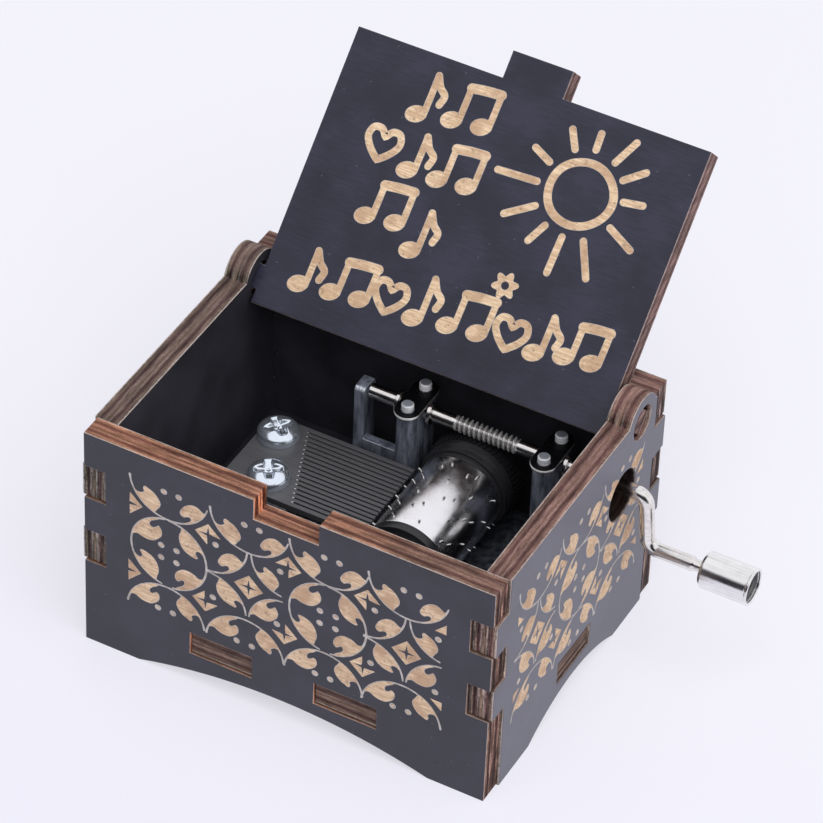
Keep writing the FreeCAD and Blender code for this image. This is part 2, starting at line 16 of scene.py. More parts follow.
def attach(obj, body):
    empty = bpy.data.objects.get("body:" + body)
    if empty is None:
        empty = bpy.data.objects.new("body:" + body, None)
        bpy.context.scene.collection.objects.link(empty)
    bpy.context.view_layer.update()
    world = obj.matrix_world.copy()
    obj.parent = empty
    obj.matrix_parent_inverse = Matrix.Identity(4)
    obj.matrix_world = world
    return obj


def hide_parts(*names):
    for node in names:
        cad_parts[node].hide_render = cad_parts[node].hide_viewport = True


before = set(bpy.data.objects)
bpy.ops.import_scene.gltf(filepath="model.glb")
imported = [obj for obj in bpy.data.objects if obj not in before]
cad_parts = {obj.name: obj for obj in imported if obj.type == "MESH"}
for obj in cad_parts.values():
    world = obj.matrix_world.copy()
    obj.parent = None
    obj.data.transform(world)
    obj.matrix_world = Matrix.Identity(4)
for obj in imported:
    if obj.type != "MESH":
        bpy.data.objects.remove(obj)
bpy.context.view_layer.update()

MM = 0.001
FLAT_ANGLE = 0.8             # degrees; faces that turn less are joined into one flat face
OFFSET = np.array([32.0, 25.6, 0.0])

# ---------------------------------------------------------------- sizes of the part
PLY = 3.8
FRONT_Y, BACK_Y = -25.6, 25.6
SIDE_X = 32.45
BASE_BOTTOM = 5.4
SHAFT_Y, SHAFT_Z, SHAFT_LEFT = 13.9, 27.7, -8.45
ROD_RADIUS = 1.1
BEARINGS_X = (-1.1, 20.6)
STUD_SPACING = 5.35
STRAP_TOP = SHAFT_Z + ROD_RADIUS + 0.05 + 0.4
COLLARS_X = (-3.65, 1.45, 23.15)
DRUM_X, DRUM_Z = 8.85, 19.67
DRUM_RADIUS = 6.35
DRUM_FRONT, DRUM_REAR = -6.6, 9.2
CAP_FRONT = -8.0
FLANGE_STEP, FLANGE_REAR = 10.0, 12.3
COMB_TOP = DRUM_Z + 1.15
COMB_FRONT, NOTE_PITCH, NOTES, BEATS = -6.65, 0.875, 18, 66
COMB_SCREWS = ((-18.68, 5.57), (-15.34, -3.12))
WORM_PITCH = 2 * math.pi * 6.925 / 56
WORM_ROOT, WORM_TIP = 0.80, 1.25
PIVOT_Y, PIVOT_Z = 17.4, 37.3
LID_ANGLE = math.radians(135.4)
CRANK_HOLE_Y, CRANK_HOLE_Z, CRANK_HOLE_R = 12.3, 27.7, 4.0
ELBOW_X, LEG_SLANT, KNOB_Z, KNOB_X = 35.5, 0.8, 18.55, 44.85
ELBOW_RADIUS = 1.9


def place(points):
    """Millimetres about the footprint's middle, as an array, to metres in the part's frame."""
    return (np.asarray(points, float) + OFFSET) * MM


# ---------------------------------------------------------------- meshes
def into_scene(name, mesh, material, smooth_angle):
    """Smooth a mesh up to an angle, give it a material and link it as an object."""
    mesh.polygons.foreach_set("use_smooth", [True] * len(mesh.polygons))
    mesh.set_sharp_from_angle(angle=math.radians(smooth_angle))
    mesh.materials.clear()
    mesh.materials.append(material)
    piece = bpy.data.objects.new(name, mesh)
    bpy.context.scene.collection.objects.link(piece)
    return piece


def mesh_object(name, points, faces, material, smooth_angle=40):
    """A mesh object from points in millimetres and a list of faces."""
    mesh = bpy.data.meshes.new(name)
    mesh.from_pydata(place(points).tolist(), [], [list(map(int, f)) for f in faces])
    mesh.validate()
    return into_scene(name, mesh, material, smooth_angle)


def full_turn(count):
    return np.linspace(0, 2 * math.pi, count, endpoint=False)


def unit(vector):
    return vector / np.linalg.norm(vector, axis=-1, keepdims=True)


def grid_faces(rows, columns):
    """Quads over a grid of rows by columns, whose last column joins the first."""
    row, column = np.meshgrid(np.arange(rows - 1), np.arange(columns), indexing="ij")
    after = (column + 1) % columns
    quads = np.stack([row * columns + column, row * columns + after,
                      (row + 1) * columns + after, (row + 1) * columns + column], -1)
    return quads.reshape(-1, 4).tolist()


def repeated(faces, copies, points_each):
    """The faces of one piece for each of its copies, whose points follow each other."""
    return (np.array(faces) + (np.arange(copies) * points_each)[:, None, None]).reshape(-1, 4).tolist()


def rounded(profile, radius=0.08, steps=4):
    """Round each inner corner of a profile by a quadratic arc: (1-t)^2 a + 2t(1-t) corner + t^2 b."""
    profile = np.asarray(profile, float)
    points = [profile[0]]
    share = np.linspace(0, 1, steps + 1)[:, None]
    for before, corner, after in zip(profile, profile[1:], profile[2:]):
        into, out = corner - before, after - corner
        cut = min(radius, np.linalg.norm(into) * 0.45, np.linalg.norm(out) * 0.45)
        start = corner - into / max(np.linalg.norm(into), 1e-9) * cut
        end = corner + out / max(np.linalg.norm(out), 1e-9) * cut
        points.extend((1 - share) ** 2 * start + 2 * share * (1 - share) * corner + share ** 2 * end)
    points.append(profile[-1])
    return np.array(points)


def axis_frame(direction):
    """The direction, and two more at right angles to it."""
    direction = unit(np.asarray(direction, float))
    helper = np.array([0.0, 0.0, 1.0]) if abs(direction[2]) < 0.9 else np.array([1.0, 0.0, 0.0])
    side = unit(np.cross(helper, direction))
    return direction, side, np.cross(direction, side)


def turned(name, profile, origin, direction, material, sides=96, smooth_angle=40):
    """Surface of revolution: point(s, a) = origin + along(s) d + radius(s) (cos a u + sin a v). The
    profile is a closed loop, or starts and ends on the axis."""
    along, side, up = axis_frame(direction)
    profile = np.asarray(profile, float)
    angle = full_turn(sides)
    ring = np.cos(angle)[:, None] * side + np.sin(angle)[:, None] * up
    points = (np.asarray(origin, float) + profile[:, 0, None, None] * along
              + profile[:, 1, None, None] * ring[None])
    faces = np.array(grid_faces(len(profile), sides))[:, ::-1].tolist()
    return weld(mesh_object(name, points.reshape(-1, 3), faces, material, smooth_angle))


@contextmanager
def edited(source, target=None):
    """A bmesh of the source mesh, written to the target, or back to the source, when its block ends."""
    work = bmesh.new()
    work.from_mesh(source)
    yield work
    work.to_mesh(target or source)
    work.free()


def weld(piece, distance=1e-7):
    """Merge points that lie together, which closes poles and seams, and point faces outwards."""
    with edited(piece.data) as work:
        bmesh.ops.remove_doubles(work, verts=work.verts, dist=distance)
        bmesh.ops.dissolve_degenerate(work, edges=work.edges, dist=distance)
        bmesh.ops.recalc_face_normals(work, faces=work.faces)
    return piece


def swept(name, path, radii, material, sides=48):
    """A round bar along a path in a plane of constant y: point(s, a) = path(s) + r(s, a) (cos a u +
    sin a v(s)), where u is +Y and v is the path's direction crossed with u. radii is an array of
    path points by sides."""
    tangent = unit(np.gradient(path, axis=0))
    across = np.array([0.0, 1.0, 0.0])
    other = np.cross(tangent, across)
    angle = full_turn(sides)
    rings = (path[:, None] + radii[..., None] * (np.cos(angle)[None, :, None] * across
                                                 + np.sin(angle)[None, :, None] * other[:, None]))
    faces = grid_faces(len(path), sides)
    count = len(path) * sides
    faces.append(list(range(sides - 1, -1, -1)))
    faces.append(list(range(count - sides, count)))
    return mesh_object(name, rings.reshape(-1, 3), faces, material, 50)


def merged_copy(node, name, material, bevel, segments=2, angle=25):
    """A copy of a node's mesh with its points merged, flat faces joined and edges rounded."""
    mesh = bpy.data.meshes.new(name)
    with edited(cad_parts[node].data, mesh) as work:
        bmesh.ops.remove_doubles(work, verts=work.verts, dist=1e-6)
        bmesh.ops.dissolve_limit(work, angle_limit=math.radians(FLAT_ANGLE), verts=work.verts, edges=work.edges)
    piece = into_scene(name, mesh, material, angle)
    rounding = piece.modifiers.new("rounding", "BEVEL")
    rounding.width = bevel * MM
    rounding.segments = segments
    rounding.limit_method = "ANGLE"
    rounding.angle_limit = math.radians(angle)
    rounding.miter_outer = "MITER_ARC"
    rounding.use_clamp_overlap = True
    evened = piece.modifiers.new("evened", "WEIGHTED_NORMAL")
    evened.mode = "FACE_AREA"
    evened.weight = 100
    evened.keep_sharp = True
    return piece


def settle(piece, body, slot, *nodes):
    """Let a piece ride on a body and let it replace the named nodes. slot is not used."""
    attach(piece, body)
    if nodes:
        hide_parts(*nodes)
    return piece


# ---------------------------------------------------------------- materials
class Nodes:
    """Adds nodes to a tree. Each method gives back the output that is used next."""

    def __init__(self, tree):
        self.tree = tree

    def put(self, socket, value):
        """Link an output to a socket, or set a constant there. A colour has three numbers."""
        if isinstance(value, bpy.types.NodeSocket):
            self.tree.links.new(value, socket)
        else:
            socket.default_value = (*value, 1) if socket.type == "RGBA" else value

    def add(self, kind, inputs=None, **settings):
        node = self.tree.nodes.new(kind)
        for key, value in settings.items():
            setattr(node, key, value)
        for key, value in (inputs or {}).items():
            self.put(node.inputs[key], value)
        return node

    def math(self, operation, *values, clamp=False):
        node = self.add("ShaderNodeMath", dict(enumerate(values)), operation=operation, use_clamp=clamp)
        return node.outputs[0]

    def times(self, first, second):
        return self.math("MULTIPLY", first, second)

    def plus(self, first, second):
        return self.math("ADD", first, second)

    def scaled(self, value, factor, offset):
        return self.math("MULTIPLY_ADD", value, factor, offset)

    def ramp(self, value, low, high, to_low=0.0, to_high=1.0, smooth=True):
        kind = "SMOOTHSTEP" if smooth else "LINEAR"
        node = self.add("ShaderNodeMapRange", {"Value": value, "From Min": low, "From Max": high,
                                               "To Min": to_low, "To Max": to_high}, interpolation_type=kind)
        return node.outputs["Result"]

    def mix(self, share, first, second, blend="MIX"):
        node = self.add("ShaderNodeMix", {0: share, 6: first, 7: second}, data_type="RGBA", blend_type=blend)
        return node.outputs[2]

    def filtered(self, first, second):
        """One colour times another."""
        return self.mix(1.0, first, second, "MULTIPLY")

    def dimmed(self, colour, share):
        return self.filtered(colour, self.add("ShaderNodeCombineColor", {0: share, 1: share, 2: share}).outputs[0])

    def split(self, vector):
        return self.add("ShaderNodeSeparateXYZ", {0: vector}).outputs


class Finish(Nodes):
    """A Principled material whose patterns lie on Object coordinates."""

    def __init__(self, name, colour=(0.5, 0.5, 0.5), roughness=0.5, metallic=0.0, **sockets):
        self.material = bpy.data.materials.new(name)
        self.material.use_nodes = True
        super().__init__(self.material.node_tree)
        self.shader = self.tree.nodes["Principled BSDF"]
        for socket, value in {"Base Color": colour, "Roughness": roughness, "Metallic": metallic, **sockets}.items():
            self.set(socket.replace("_", " "), value)
        self.coords = self.add("ShaderNodeTexCoord").outputs["Object"]

    def set(self, socket, value):
        self.put(self.shader.inputs[socket], value)

    def normal(self):
        return self.split(self.add("ShaderNodeNewGeometry").outputs["Normal"])

    def moved(self, centre=(0, 0, 0), scale=(1, 1, 1), turn=(0, 0, 0)):
        """Object coordinates about a centre in millimetres, turned and then scaled, in millimetres."""
        shifted = self.add("ShaderNodeVectorMath", {0: self.coords, 1: Vector(place(centre))}, operation="SUBTRACT")
        return self.add("ShaderNodeMapping", {"Vector": shifted.outputs[0], "Rotation": turn,
                                              "Scale": [s / MM for s in scale]}, vector_type="POINT").outputs[0]

    def radius(self, centre):
        """Distance in millimetres from an axis along X through the centre."""
        flat = self.moved(centre, (0, 1, 1))
        return self.add("ShaderNodeVectorMath", {0: flat}, operation="LENGTH").outputs["Value"]

    def clouds(self, scale, detail, roughness=0.5, distortion=0.0, centre=(0, 0, 0), turn=(0, 0, 0), size=1.0):
        """Noise whose scale is in waves to the millimetre: one number, or one for each axis."""
        scale = (scale,) * 3 if isinstance(scale, float) else scale
        node = self.add("ShaderNodeTexNoise", {"Vector": self.moved(centre, scale, turn), "Scale": size,
                                               "Detail": detail, "Roughness": roughness, "Distortion": distortion})
        return node.outputs["Fac"]

    def bands(self, value, stops):
        """Colours at given positions of a value, fading evenly from one to the next."""
        node = self.add("ShaderNodeValToRGB", {"Fac": value})
        elements = node.color_ramp.elements
        while len(elements) < len(stops):
            elements.new(0.5)
        for element, (position, colour) in zip(elements, stops):
            element.position, element.color = position, (*colour, 1)
        return node.outputs["Color"]

    def finished(self, colour, roughness=None, height=None, strength=0.3, distance=0.05):
        """The material with its colour, its roughness and a bump of so many millimetres."""
        self.set("Base Color", colour)
        if roughness:
            self.set("Roughness", roughness)
        if height:
            bump = self.add("ShaderNodeBump", {"Height": height, "Strength": strength, "Distance": distance * MM})
            self.set("Normal", bump.outputs[0])
        return self.material


def black_paint(name, turn=(0, 0, 0), grain_axis=0, tone=0.85, roughness=0.38, reflectance=1.52, sheen=0.7,
                blue=1.85):
    """Black paint on a board's face: soft clouds, filled pores along the grain, and a few specks."""
    finish = Finish(name, roughness=roughness, IOR=reflectance, Sheen_Weight=sheen, Sheen_Roughness=0.3,
                    Sheen_Tint=(0.80, 0.80, 1.0))
    grain = [5.0, 5.0, 5.0]
    grain[grain_axis] = 0.35
    pores = finish.clouds(grain, 3.0, 0.6, turn=turn)
    cloud = finish.clouds(0.14, 4.0)
    shade = finish.plus(finish.times(cloud, 0.6), finish.times(pores, 0.4))
    light, dark = ((c * tone, c * tone, c * tone * blue) for c in (0.023, 0.0115))
    paint = finish.mix(finish.ramp(shade, 0.35, 0.65), dark, light)
    cells = finish.add("ShaderNodeTexVoronoi", {"Vector": finish.moved(scale=(0.5, 0.5, 0.5)), "Scale": 1.0})
    dust = finish.ramp(cells.outputs["Distance"], 0.025, 0.06, 1.0, 0.0)
    return finish.finished(finish.mix(finish.times(dust, 0.4), paint, (0.30, 0.30, 0.34)),
                           finish.scaled(pores, 0.16, roughness - 0.08),
                           finish.plus(finish.times(pores, 0.25), finish.times(cloud, 0.5)), 0.35, 0.06)


PALE_BURR = (0.54, 0.46, 0.42)


def scorched_edge(name, centre, turn=(0, 0, 0), thickness_axis=2, tint=(1, 1, 1), bore=None, ends=None,
                  fade=None):
    """Laser-cut edge of a board: the plies as scorched bands through the thickness, fine fibres along
    them, and a torn pale burr at the faces. bore is a hole's centre and radius whose wall is painted
    dark as shade in the hole. ends is the axis that the finger ends face, the sign of the board's inner
    side, and their own tint: they have deeper bands and a painted shade line along the gap on the inner
    side, and the other edge faces low down are painted darker as shade. fade darkens the edge along an
    axis."""
    finish = Finish(name, roughness=0.8, Specular_IOR_Level=0.2)
    depth = finish.math("DIVIDE", finish.split(finish.moved(centre, turn=turn))[thickness_axis], PLY / 2)
    face_distance = finish.math("ABSOLUTE", depth)

    def along_edge(length, across, *shape):
        scale = [length, length, length]
        scale[thickness_axis] = across
        return finish.clouds(scale, *shape, centre=centre, turn=turn)

    streaks = along_edge(0.14, 3.2, 5.0, 0.6, 0.2)
    fibres = along_edge(0.55, 7.0, 4.0, 0.7)
    fuzz = along_edge(2.6, 3.4, 3.0, 0.65)
    scorch = along_edge(0.2, 0.8, 3.0)
    wander = along_edge(0.3, 0.3, 4.0, 0.6)
    plies = finish.bands(finish.plus(finish.scaled(depth, 0.5, 0.5), finish.scaled(wander, 0.14, -0.07)), (
        (0.0, (0.24, 0.140, 0.100)), (0.10, (0.24, 0.128, 0.086)), (0.18, (0.15, 0.072, 0.050)),
        (0.25, (0.085, 0.036, 0.028)), (0.30, (0.125, 0.056, 0.040)), (0.38, (0.25, 0.135, 0.098)),
        (0.50, (0.19, 0.092, 0.058)), (0.60, (0.26, 0.142, 0.104)), (0.68, (0.145, 0.064, 0.046)),
        (0.74, (0.080, 0.036, 0.028)), (0.82, (0.16, 0.076, 0.052)), (0.90, (0.24, 0.128, 0.088)),
        (1.0, (0.26, 0.150, 0.108))))
    tone = finish.ramp(streaks, 0.32, 0.68, 0.48, 1.55, smooth=False)
    for pattern, darkest, palest in ((fibres, 0.62, 1.38), (scorch, 0.65, 1.3), (fuzz, 0.78, 1.22)):
        tone = finish.times(tone, finish.ramp(pattern, 0.3, 0.7, darkest, palest, smooth=False))
    # painted shade: the bore's wall is painted dark, as shade inside the crank hole
    if bore:
        from_bore = finish.radius(bore[:3])
        tone = finish.times(tone, finish.ramp(from_bore, bore[3] + 0.12, bore[3] + 0.4, 0.22, 1.0))
    tinted = finish.add("ShaderNodeCombineColor", {n: finish.times(tone, t) for n, t in enumerate(tint)})
    colour = finish.filtered(plies, tinted.outputs[0])
    uneven = finish.scaled(along_edge(1.3, 1.3, 5.0, 0.7), 0.3, -0.15)
    burr = finish.times(finish.ramp(finish.plus(face_distance, uneven), 0.87, 0.94), 0.75)
    if fade:
        share = finish.ramp(finish.split(finish.moved())[fade[0]], fade[1], fade[2])
        colour = finish.mix(share, colour, finish.filtered(colour, (0.68, 0.82, 0.98)))
    if ends:
        axis, inner_side, end_tint = ends
        finger_end = finish.ramp(finish.math("ABSOLUTE", finish.normal()[axis]), 0.6, 0.9)
        if bore:
            finger_end = finish.times(finger_end, finish.ramp(from_bore, bore[3] + 0.3, bore[3] + 0.6))
        colour = finish.mix(finger_end, colour, finish.filtered(finish.filtered(colour, colour), end_tint))
        # painted shade: below about 30 mm, edge faces other than the finger ends are painted half as dark and lose
        # their burr, as shade in the notches and under the box
        low = finish.ramp(finish.split(finish.coords)[2], 0.030, 0.034, 0.5, 1.0)
        notch_shade_factor = finish.math("MAXIMUM", finger_end, low)
        colour = finish.mix(finish.times(burr, notch_shade_factor), finish.dimmed(colour, notch_shade_factor), PALE_BURR)
        # painted shade: a dark line on the finger ends along the board's inner side, where the joint's gap lies in
        # shade
        painted_gap_shade = finish.ramp(finish.plus(finish.times(depth, inner_side), uneven), 0.84, 0.93)
        colour = finish.mix(finish.times(finish.times(painted_gap_shade, finger_end), 0.9), colour, (0.010, 0.008, 0.008))
    else:
        colour = finish.mix(burr, colour, PALE_BURR)
    relief = finish.plus(streaks, finish.plus(fibres, finish.times(fuzz, 0.7)))
    return finish.finished(colour, finish.scaled(fuzz, 0.2, 0.68), relief, 0.4, 0.06)


def engraved_wood(name):
    """Bare wood where the paint was burned away: fine grain along the board, clouds as wide as a leaf,
    and small sooty specks."""
    finish = Finish(name, roughness=0.8, Specular_IOR_Level=0.12)
    grain = finish.clouds((0.3, 3.2, 3.2), 5.0, 0.65, 0.3)
    lines = finish.clouds((0.7, 9.0, 9.0), 3.0)
    soot = finish.clouds(1.5, 4.0, 0.7)
    colour = finish.mix(finish.ramp(grain, 0.35, 0.65), (0.64, 0.44, 0.275), (0.90, 0.69, 0.475))
    for pattern, low, high, most, tint in (
            (lines, 0.52, 0.7, 0.5, (0.46, 0.28, 0.155)),
            (finish.clouds(0.33, 3.0), 0.42, 0.68, 0.75, (0.52, 0.33, 0.21)),
            (soot, 0.54, 0.70, 0.6, (0.24, 0.16, 0.12))):
        colour = finish.mix(finish.ramp(pattern, low, high, 0.0, most), colour, tint)
    return finish.finished(colour, None, finish.plus(lines, soot), 0.35, 0.03)


def burned_line(name):
    """The thin pale lines and dots: bare wood under a little soot, near grey."""
    finish = Finish(name, roughness=0.75)
    soot = finish.clouds(1.1, 3.0)
    colour = finish.mix(finish.ramp(soot, 0.3, 0.7), (0.40, 0.36, 0.33), (0.60, 0.56, 0.52))
    return finish.finished(colour, None, soot, 0.3, 0.03)


def cast_zinc(name):
    """Zinc casting: streaks down its sides, darker towards its bed, and a painted highlight on its upper edges."""
    finish = Finish(name, roughness=0.4, metallic=0.55)
    large = finish.clouds((0.9, 0.9, 0.16), 4.0, 0.65)
    fine = finish.clouds(3.0, 3.0)
    colour = finish.mix(finish.ramp(large, 0.3, 0.7), (0.075, 0.085, 0.12), (0.38, 0.41, 0.50))
    # darker towards the bed, below about 16 mm
    darker_towards_bed = finish.ramp(finish.split(finish.coords)[2], 0.009, 0.016, 0.25, 1.0)
    lean = finish.normal()[2]
    # painted highlight: pale rims where the surface leans between top and side
    painted_edge_highlight = finish.times(finish.ramp(lean, 0.2, 0.5), finish.ramp(lean, 0.8, 0.96, 1.0, 0.0))
    painted_edge_highlight = finish.times(painted_edge_highlight, finish.ramp(fine, 0.35, 0.55, 0.3, 0.9))
    colour = finish.mix(painted_edge_highlight, finish.dimmed(colour, darker_towards_bed), (0.86, 0.88, 0.95))
    return finish.finished(colour, finish.scaled(fine, 0.3, 0.34),
                           finish.plus(large, finish.times(fine, 0.3)), 0.35, 0.12)


def comb_steel(name):
    finish = Finish(name, roughness=0.38, metallic=0.6)
    brushed = finish.clouds((0.12, 5.0, 5.0), 4.0)
    cloud = finish.clouds(0.25, 3.0)
    colour = finish.mix(brushed, (0.085, 0.085, 0.092), (0.20, 0.20, 0.21))
    colour = finish.mix(finish.times(cloud, 0.5), colour, (0.13, 0.13, 0.14))
    return finish.finished(colour, finish.scaled(cloud, 0.25, 0.33), brushed, 0.25, 0.03)


def plated(name, colour, roughness, wear=0.12, scale=1.2, metallic=1.0):
    """Plated metal: faint clouds in colour and gloss, fine scratches in the relief."""
    finish = Finish(name, colour, roughness, metallic)
    cloud = finish.clouds(scale, 4.0, size=0.5)
    scratches = finish.clouds((0.4 * scale, 6 * scale, 6 * scale), 4.0, 0.7)
    return finish.finished(finish.mix(cloud, [c * (1 - wear) for c in colour], colour),
                           finish.scaled(cloud, wear, roughness - wear / 2),
                           finish.plus(finish.times(cloud, 0.6), finish.times(scratches, 0.25)), 0.12, 0.04)


def moulded_black(name, roughness=0.32, tone=0.012):
    finish = Finish(name, roughness=roughness)
    grain = finish.clouds(2.5, 3.0)
    colour = finish.mix(grain, (tone, tone, tone * 1.15), (tone * 1.9, tone * 1.9, tone * 2.2))
    return finish.finished(colour, finish.scaled(grain, 0.18, roughness - 0.09), grain, 0.15, 0.03)


def black_with_painted_rim_highlight(name):
    """Blackened steel plate with a painted highlight on its rim, where the surface leans over, strongest where it
    faces the front.
    """
    finish = Finish(name, roughness=0.34, metallic=0.8)
    normal = finish.normal()
    # painted highlight: rim faces, brighter where they face the front
    rim = finish.ramp(finish.math("ABSOLUTE", normal[2]), 0.6, 0.97, 1.0, 0.0)
    rim = finish.times(rim, finish.ramp(normal[1], -0.5, 0.1, 1.0, 0.25))
    cloud = finish.clouds(2.0, 3.0)
    specks = finish.ramp(finish.clouds(5.0, 3.0), 0.66, 0.72)
    black = finish.mix(cloud, (0.006, 0.006, 0.008), (0.020, 0.020, 0.024))
    black = finish.mix(finish.times(specks, 0.5), black, (0.3, 0.3, 0.32))
    finish.set("Metallic", finish.ramp(rim, 0.0, 1.0, 0.8, 0.25))
    return finish.finished(finish.mix(rim, black, (0.96, 0.93, 0.92)), finish.scaled(cloud, 0.2, 0.24))


def mottled_nickel(name):
    """Thin bright plate that was handled: cloudy gloss, light pitting and small dark specks."""
    finish = Finish(name, roughness=0.2, metallic=1.0)
    cloud = finish.clouds(0.5, 4.0, 0.6)
    pits = finish.clouds(3.2, 5.0, 0.75)
    specks = finish.ramp(pits, 0.62, 0.74, 0.0, 0.26)
    colour = finish.mix(cloud, (0.84, 0.83, 0.84), (0.97, 0.96, 0.97))
    return finish.finished(finish.mix(specks, colour, (0.22, 0.21, 0.21)), finish.ramp(cloud, 0.3, 0.7, 0.17, 0.29),
                           finish.plus(finish.times(pits, 0.6), cloud), 0.14, 0.06)


def drawn_nickel(name, colour, roughness, streak=(0.1, 3.5, 3.5), depth=0.1, metallic=1.0, thread=False):
    """Nickel with fine draw marks: streaks in tone, gloss and relief along one direction. With thread,
    the worm's grooves are painted dark as shade and its crests painted pale as lit."""
    finish = Finish(name, colour, roughness, metallic)
    marks = finish.clouds(streak, 5.0, 0.7)
    cloud = finish.clouds(0.6, 4.0, 0.65)
    tone = finish.times(finish.ramp(marks, 0.35, 0.65, 1 - depth, 1.0),
                        finish.ramp(cloud, 0.3, 0.7, 1 - depth / 2, 1.0))
    tinted = finish.dimmed(colour, tone)
    gloss = finish.scaled(cloud, 0.16, roughness - 0.08)
    if thread:
        x = finish.split(finish.moved((DRUM_X + 2 * WORM_PITCH, 0, 0)))[0]
        worm = finish.ramp(finish.math("ABSOLUTE", x), 6.3 * WORM_PITCH, 6.6 * WORM_PITCH, 1.0, 0.0)
        # painted light: the worm's grooves are painted dark as shade and its crests pale as lit
        crest_light_vs_groove_shade = finish.ramp(finish.radius((0, SHAFT_Y, SHAFT_Z)), 0.84, 1.04)
        tinted = finish.mix(worm, tinted, finish.mix(crest_light_vs_groove_shade, (0.42, 0.40, 0.39), (1.0, 0.98, 0.97)))
        finish.set("Metallic", finish.scaled(worm, -0.2, 1.0))
        gloss = finish.scaled(worm, 0.04, gloss)
    return finish.finished(tinted, gloss, finish.plus(marks, finish.times(cloud, 0.5)), 0.16, 0.05)


def riveted_stud(name):
    """Stud ends: turned sides painted bright as lit, the flat top painted darker as shade, fine rings round the side.
    """
    finish = Finish(name, roughness=0.3, metallic=0.12)
    up = finish.normal()[2]
    rings = finish.clouds((0.3, 0.3, 6.0), 3.0)
    side = finish.mix(finish.ramp(rings, 0.35, 0.65), (0.5, 0.52, 0.56), (1.0, 1.0, 1.0))
    # painted light: the upward-facing top is painted darker as shade, the sides bright as lit
    return finish.finished(finish.mix(finish.ramp(up, 0.6, 0.95), side, (0.20, 0.21, 0.24)), None, rings, 0.3, 0.05)


LID_TURN = (LID_ANGLE, 0, 0)
RED_BROWN, GREY_BROWN, DARK_BROWN = (1.4, 1.32, 1.25), (1.0, 1.15, 1.4), (0.72, 0.98, 1.2)
TAN_BROWN, LID_BROWN = (0.75, 0.95, 1.05), (1.0, 1.2, 1.5)
CRANK_HOLE = (CRANK_HOLE_Y, CRANK_HOLE_Z, CRANK_HOLE_R)
paint = black_paint("black_paint")
side_paint = black_paint("black_paint_sides", grain_axis=1)
# painted light: the lid's copy of the black paint is made lighter, as light its open face lacks
lit_lid_paint = black_paint("black_paint_lid_lit", LID_TURN, tone=1.25)
inside_paint = black_paint("black_paint_inside", tone=1.4, roughness=0.5, reflectance=1.45, sheen=0.1, blue=1.3)
front_edge = scorched_edge("scorched_edge_front", (0, FRONT_Y + PLY / 2, 0), thickness_axis=1, tint=RED_BROWN,
                           ends=(0, 1, (4.6, 7.4, 9.0)), fade=(0, 4, 24))
back_edge = scorched_edge("scorched_edge_back", (0, BACK_Y - PLY / 2, 0), thickness_axis=1, tint=GREY_BROWN,
                          ends=(0, -1, (3.6, 7.0, 8.4)))
left_edge = scorched_edge("scorched_edge_left", (-SIDE_X + PLY / 2, 0, 0), thickness_axis=0, tint=DARK_BROWN,
                          ends=(1, 1, (6.4, 10.5, 11.5)))
right_edge = scorched_edge("scorched_edge_right", (SIDE_X - PLY / 2, 0, 0), thickness_axis=0, tint=GREY_BROWN,
                           bore=(SIDE_X, *CRANK_HOLE), ends=(1, -1, (4.6, 9.0, 10.2)))
base_edge = scorched_edge("scorched_edge_base", (0, 0, BASE_BOTTOM + PLY / 2), tint=TAN_BROWN)
lid_edge = scorched_edge("scorched_edge_lid", (0, PIVOT_Y, PIVOT_Z), LID_TURN, 2, LID_BROWN)
bare_wood = engraved_wood("engraved_wood")
pale_line = burned_line("engraved_line")
zinc = cast_zinc("cast_zinc")
steel = comb_steel("comb_steel")
screw_zinc = plated("blue_zinc_plate", (0.84, 0.91, 1.0), 0.18, 0.1, 1.6, 0.9)
nickel = drawn_nickel("bright_nickel", (0.92, 0.89, 0.86), 0.17, (0.35, 3.0, 3.0), 0.18, thread=True)
knob_nickel = drawn_nickel("satin_nickel", (0.96, 0.95, 0.94), 0.2, (0.07, 1.5, 1.5), 0.16)
cup_nickel = drawn_nickel("cup_nickel", (0.46, 0.45, 0.45), 0.42, (5.0, 0.5, 0.5), 0.6, 0.55)
drum_nickel = mottled_nickel("drum_nickel")
pin_steel = plated("pin_steel", (0.75, 0.74, 0.72), 0.22)
stud_steel = riveted_stud("stud_steel")
strap_black = black_with_painted_rim_highlight("black_strap")
black_plastic = moulded_black("moulded_black")
wheel_black = moulded_black("wheel_black", 0.5, 0.006)
lead_grey = plated("lead_grey", (0.22, 0.22, 0.24), 0.5, 0.1)

# ---------------------------------------------------------------- plywood box and lid
def of_faces(piece, key):
    """One vector of each face: its normal or its center."""
    values = np.zeros(len(piece.data.polygons) * 3)
    piece.data.polygons.foreach_get(key, values)
    return values.reshape(-1, 3)


lid_out = np.array([0, -math.sin(LID_ANGLE), -math.cos(LID_ANGLE)])


def painted_board(node, body, edge, facing, outside, inside):
    """A node's board with its two faces painted: a face whose normal is near plus or minus the facing
    direction is painted, and every other one is cut edge."""
    board = merged_copy(node, node + "_board", edge, 0.09)
    board.data.materials.append(outside)
    board.data.materials.append(inside)
    lean = of_faces(board, "normal") @ np.array(facing, float)
    board.data.polygons.foreach_set("material_index", np.where(lean > 0.9, 1, np.where(lean < -0.9, 2, 0)))
    return settle(board, body, "black_plywood", node)


for node, edge, facing, outside, inside in (
        ("front_panel", front_edge, (0, -1, 0), paint, inside_paint),
        ("back_panel", back_edge, (0, 1, 0), paint, inside_paint),
        ("left_side_panel", left_edge, (-1, 0, 0), side_paint, inside_paint),
        ("right_side_panel", right_edge, (1, 0, 0), side_paint, inside_paint),
        ("base_panel", base_edge, (0, 0, -1), paint, inside_paint),
        ("lid", lid_edge, lid_out, lit_lid_paint, lit_lid_paint)):
    painted_board(node, "lid_board" if node == "lid" else "box", edge, facing, outside, inside)

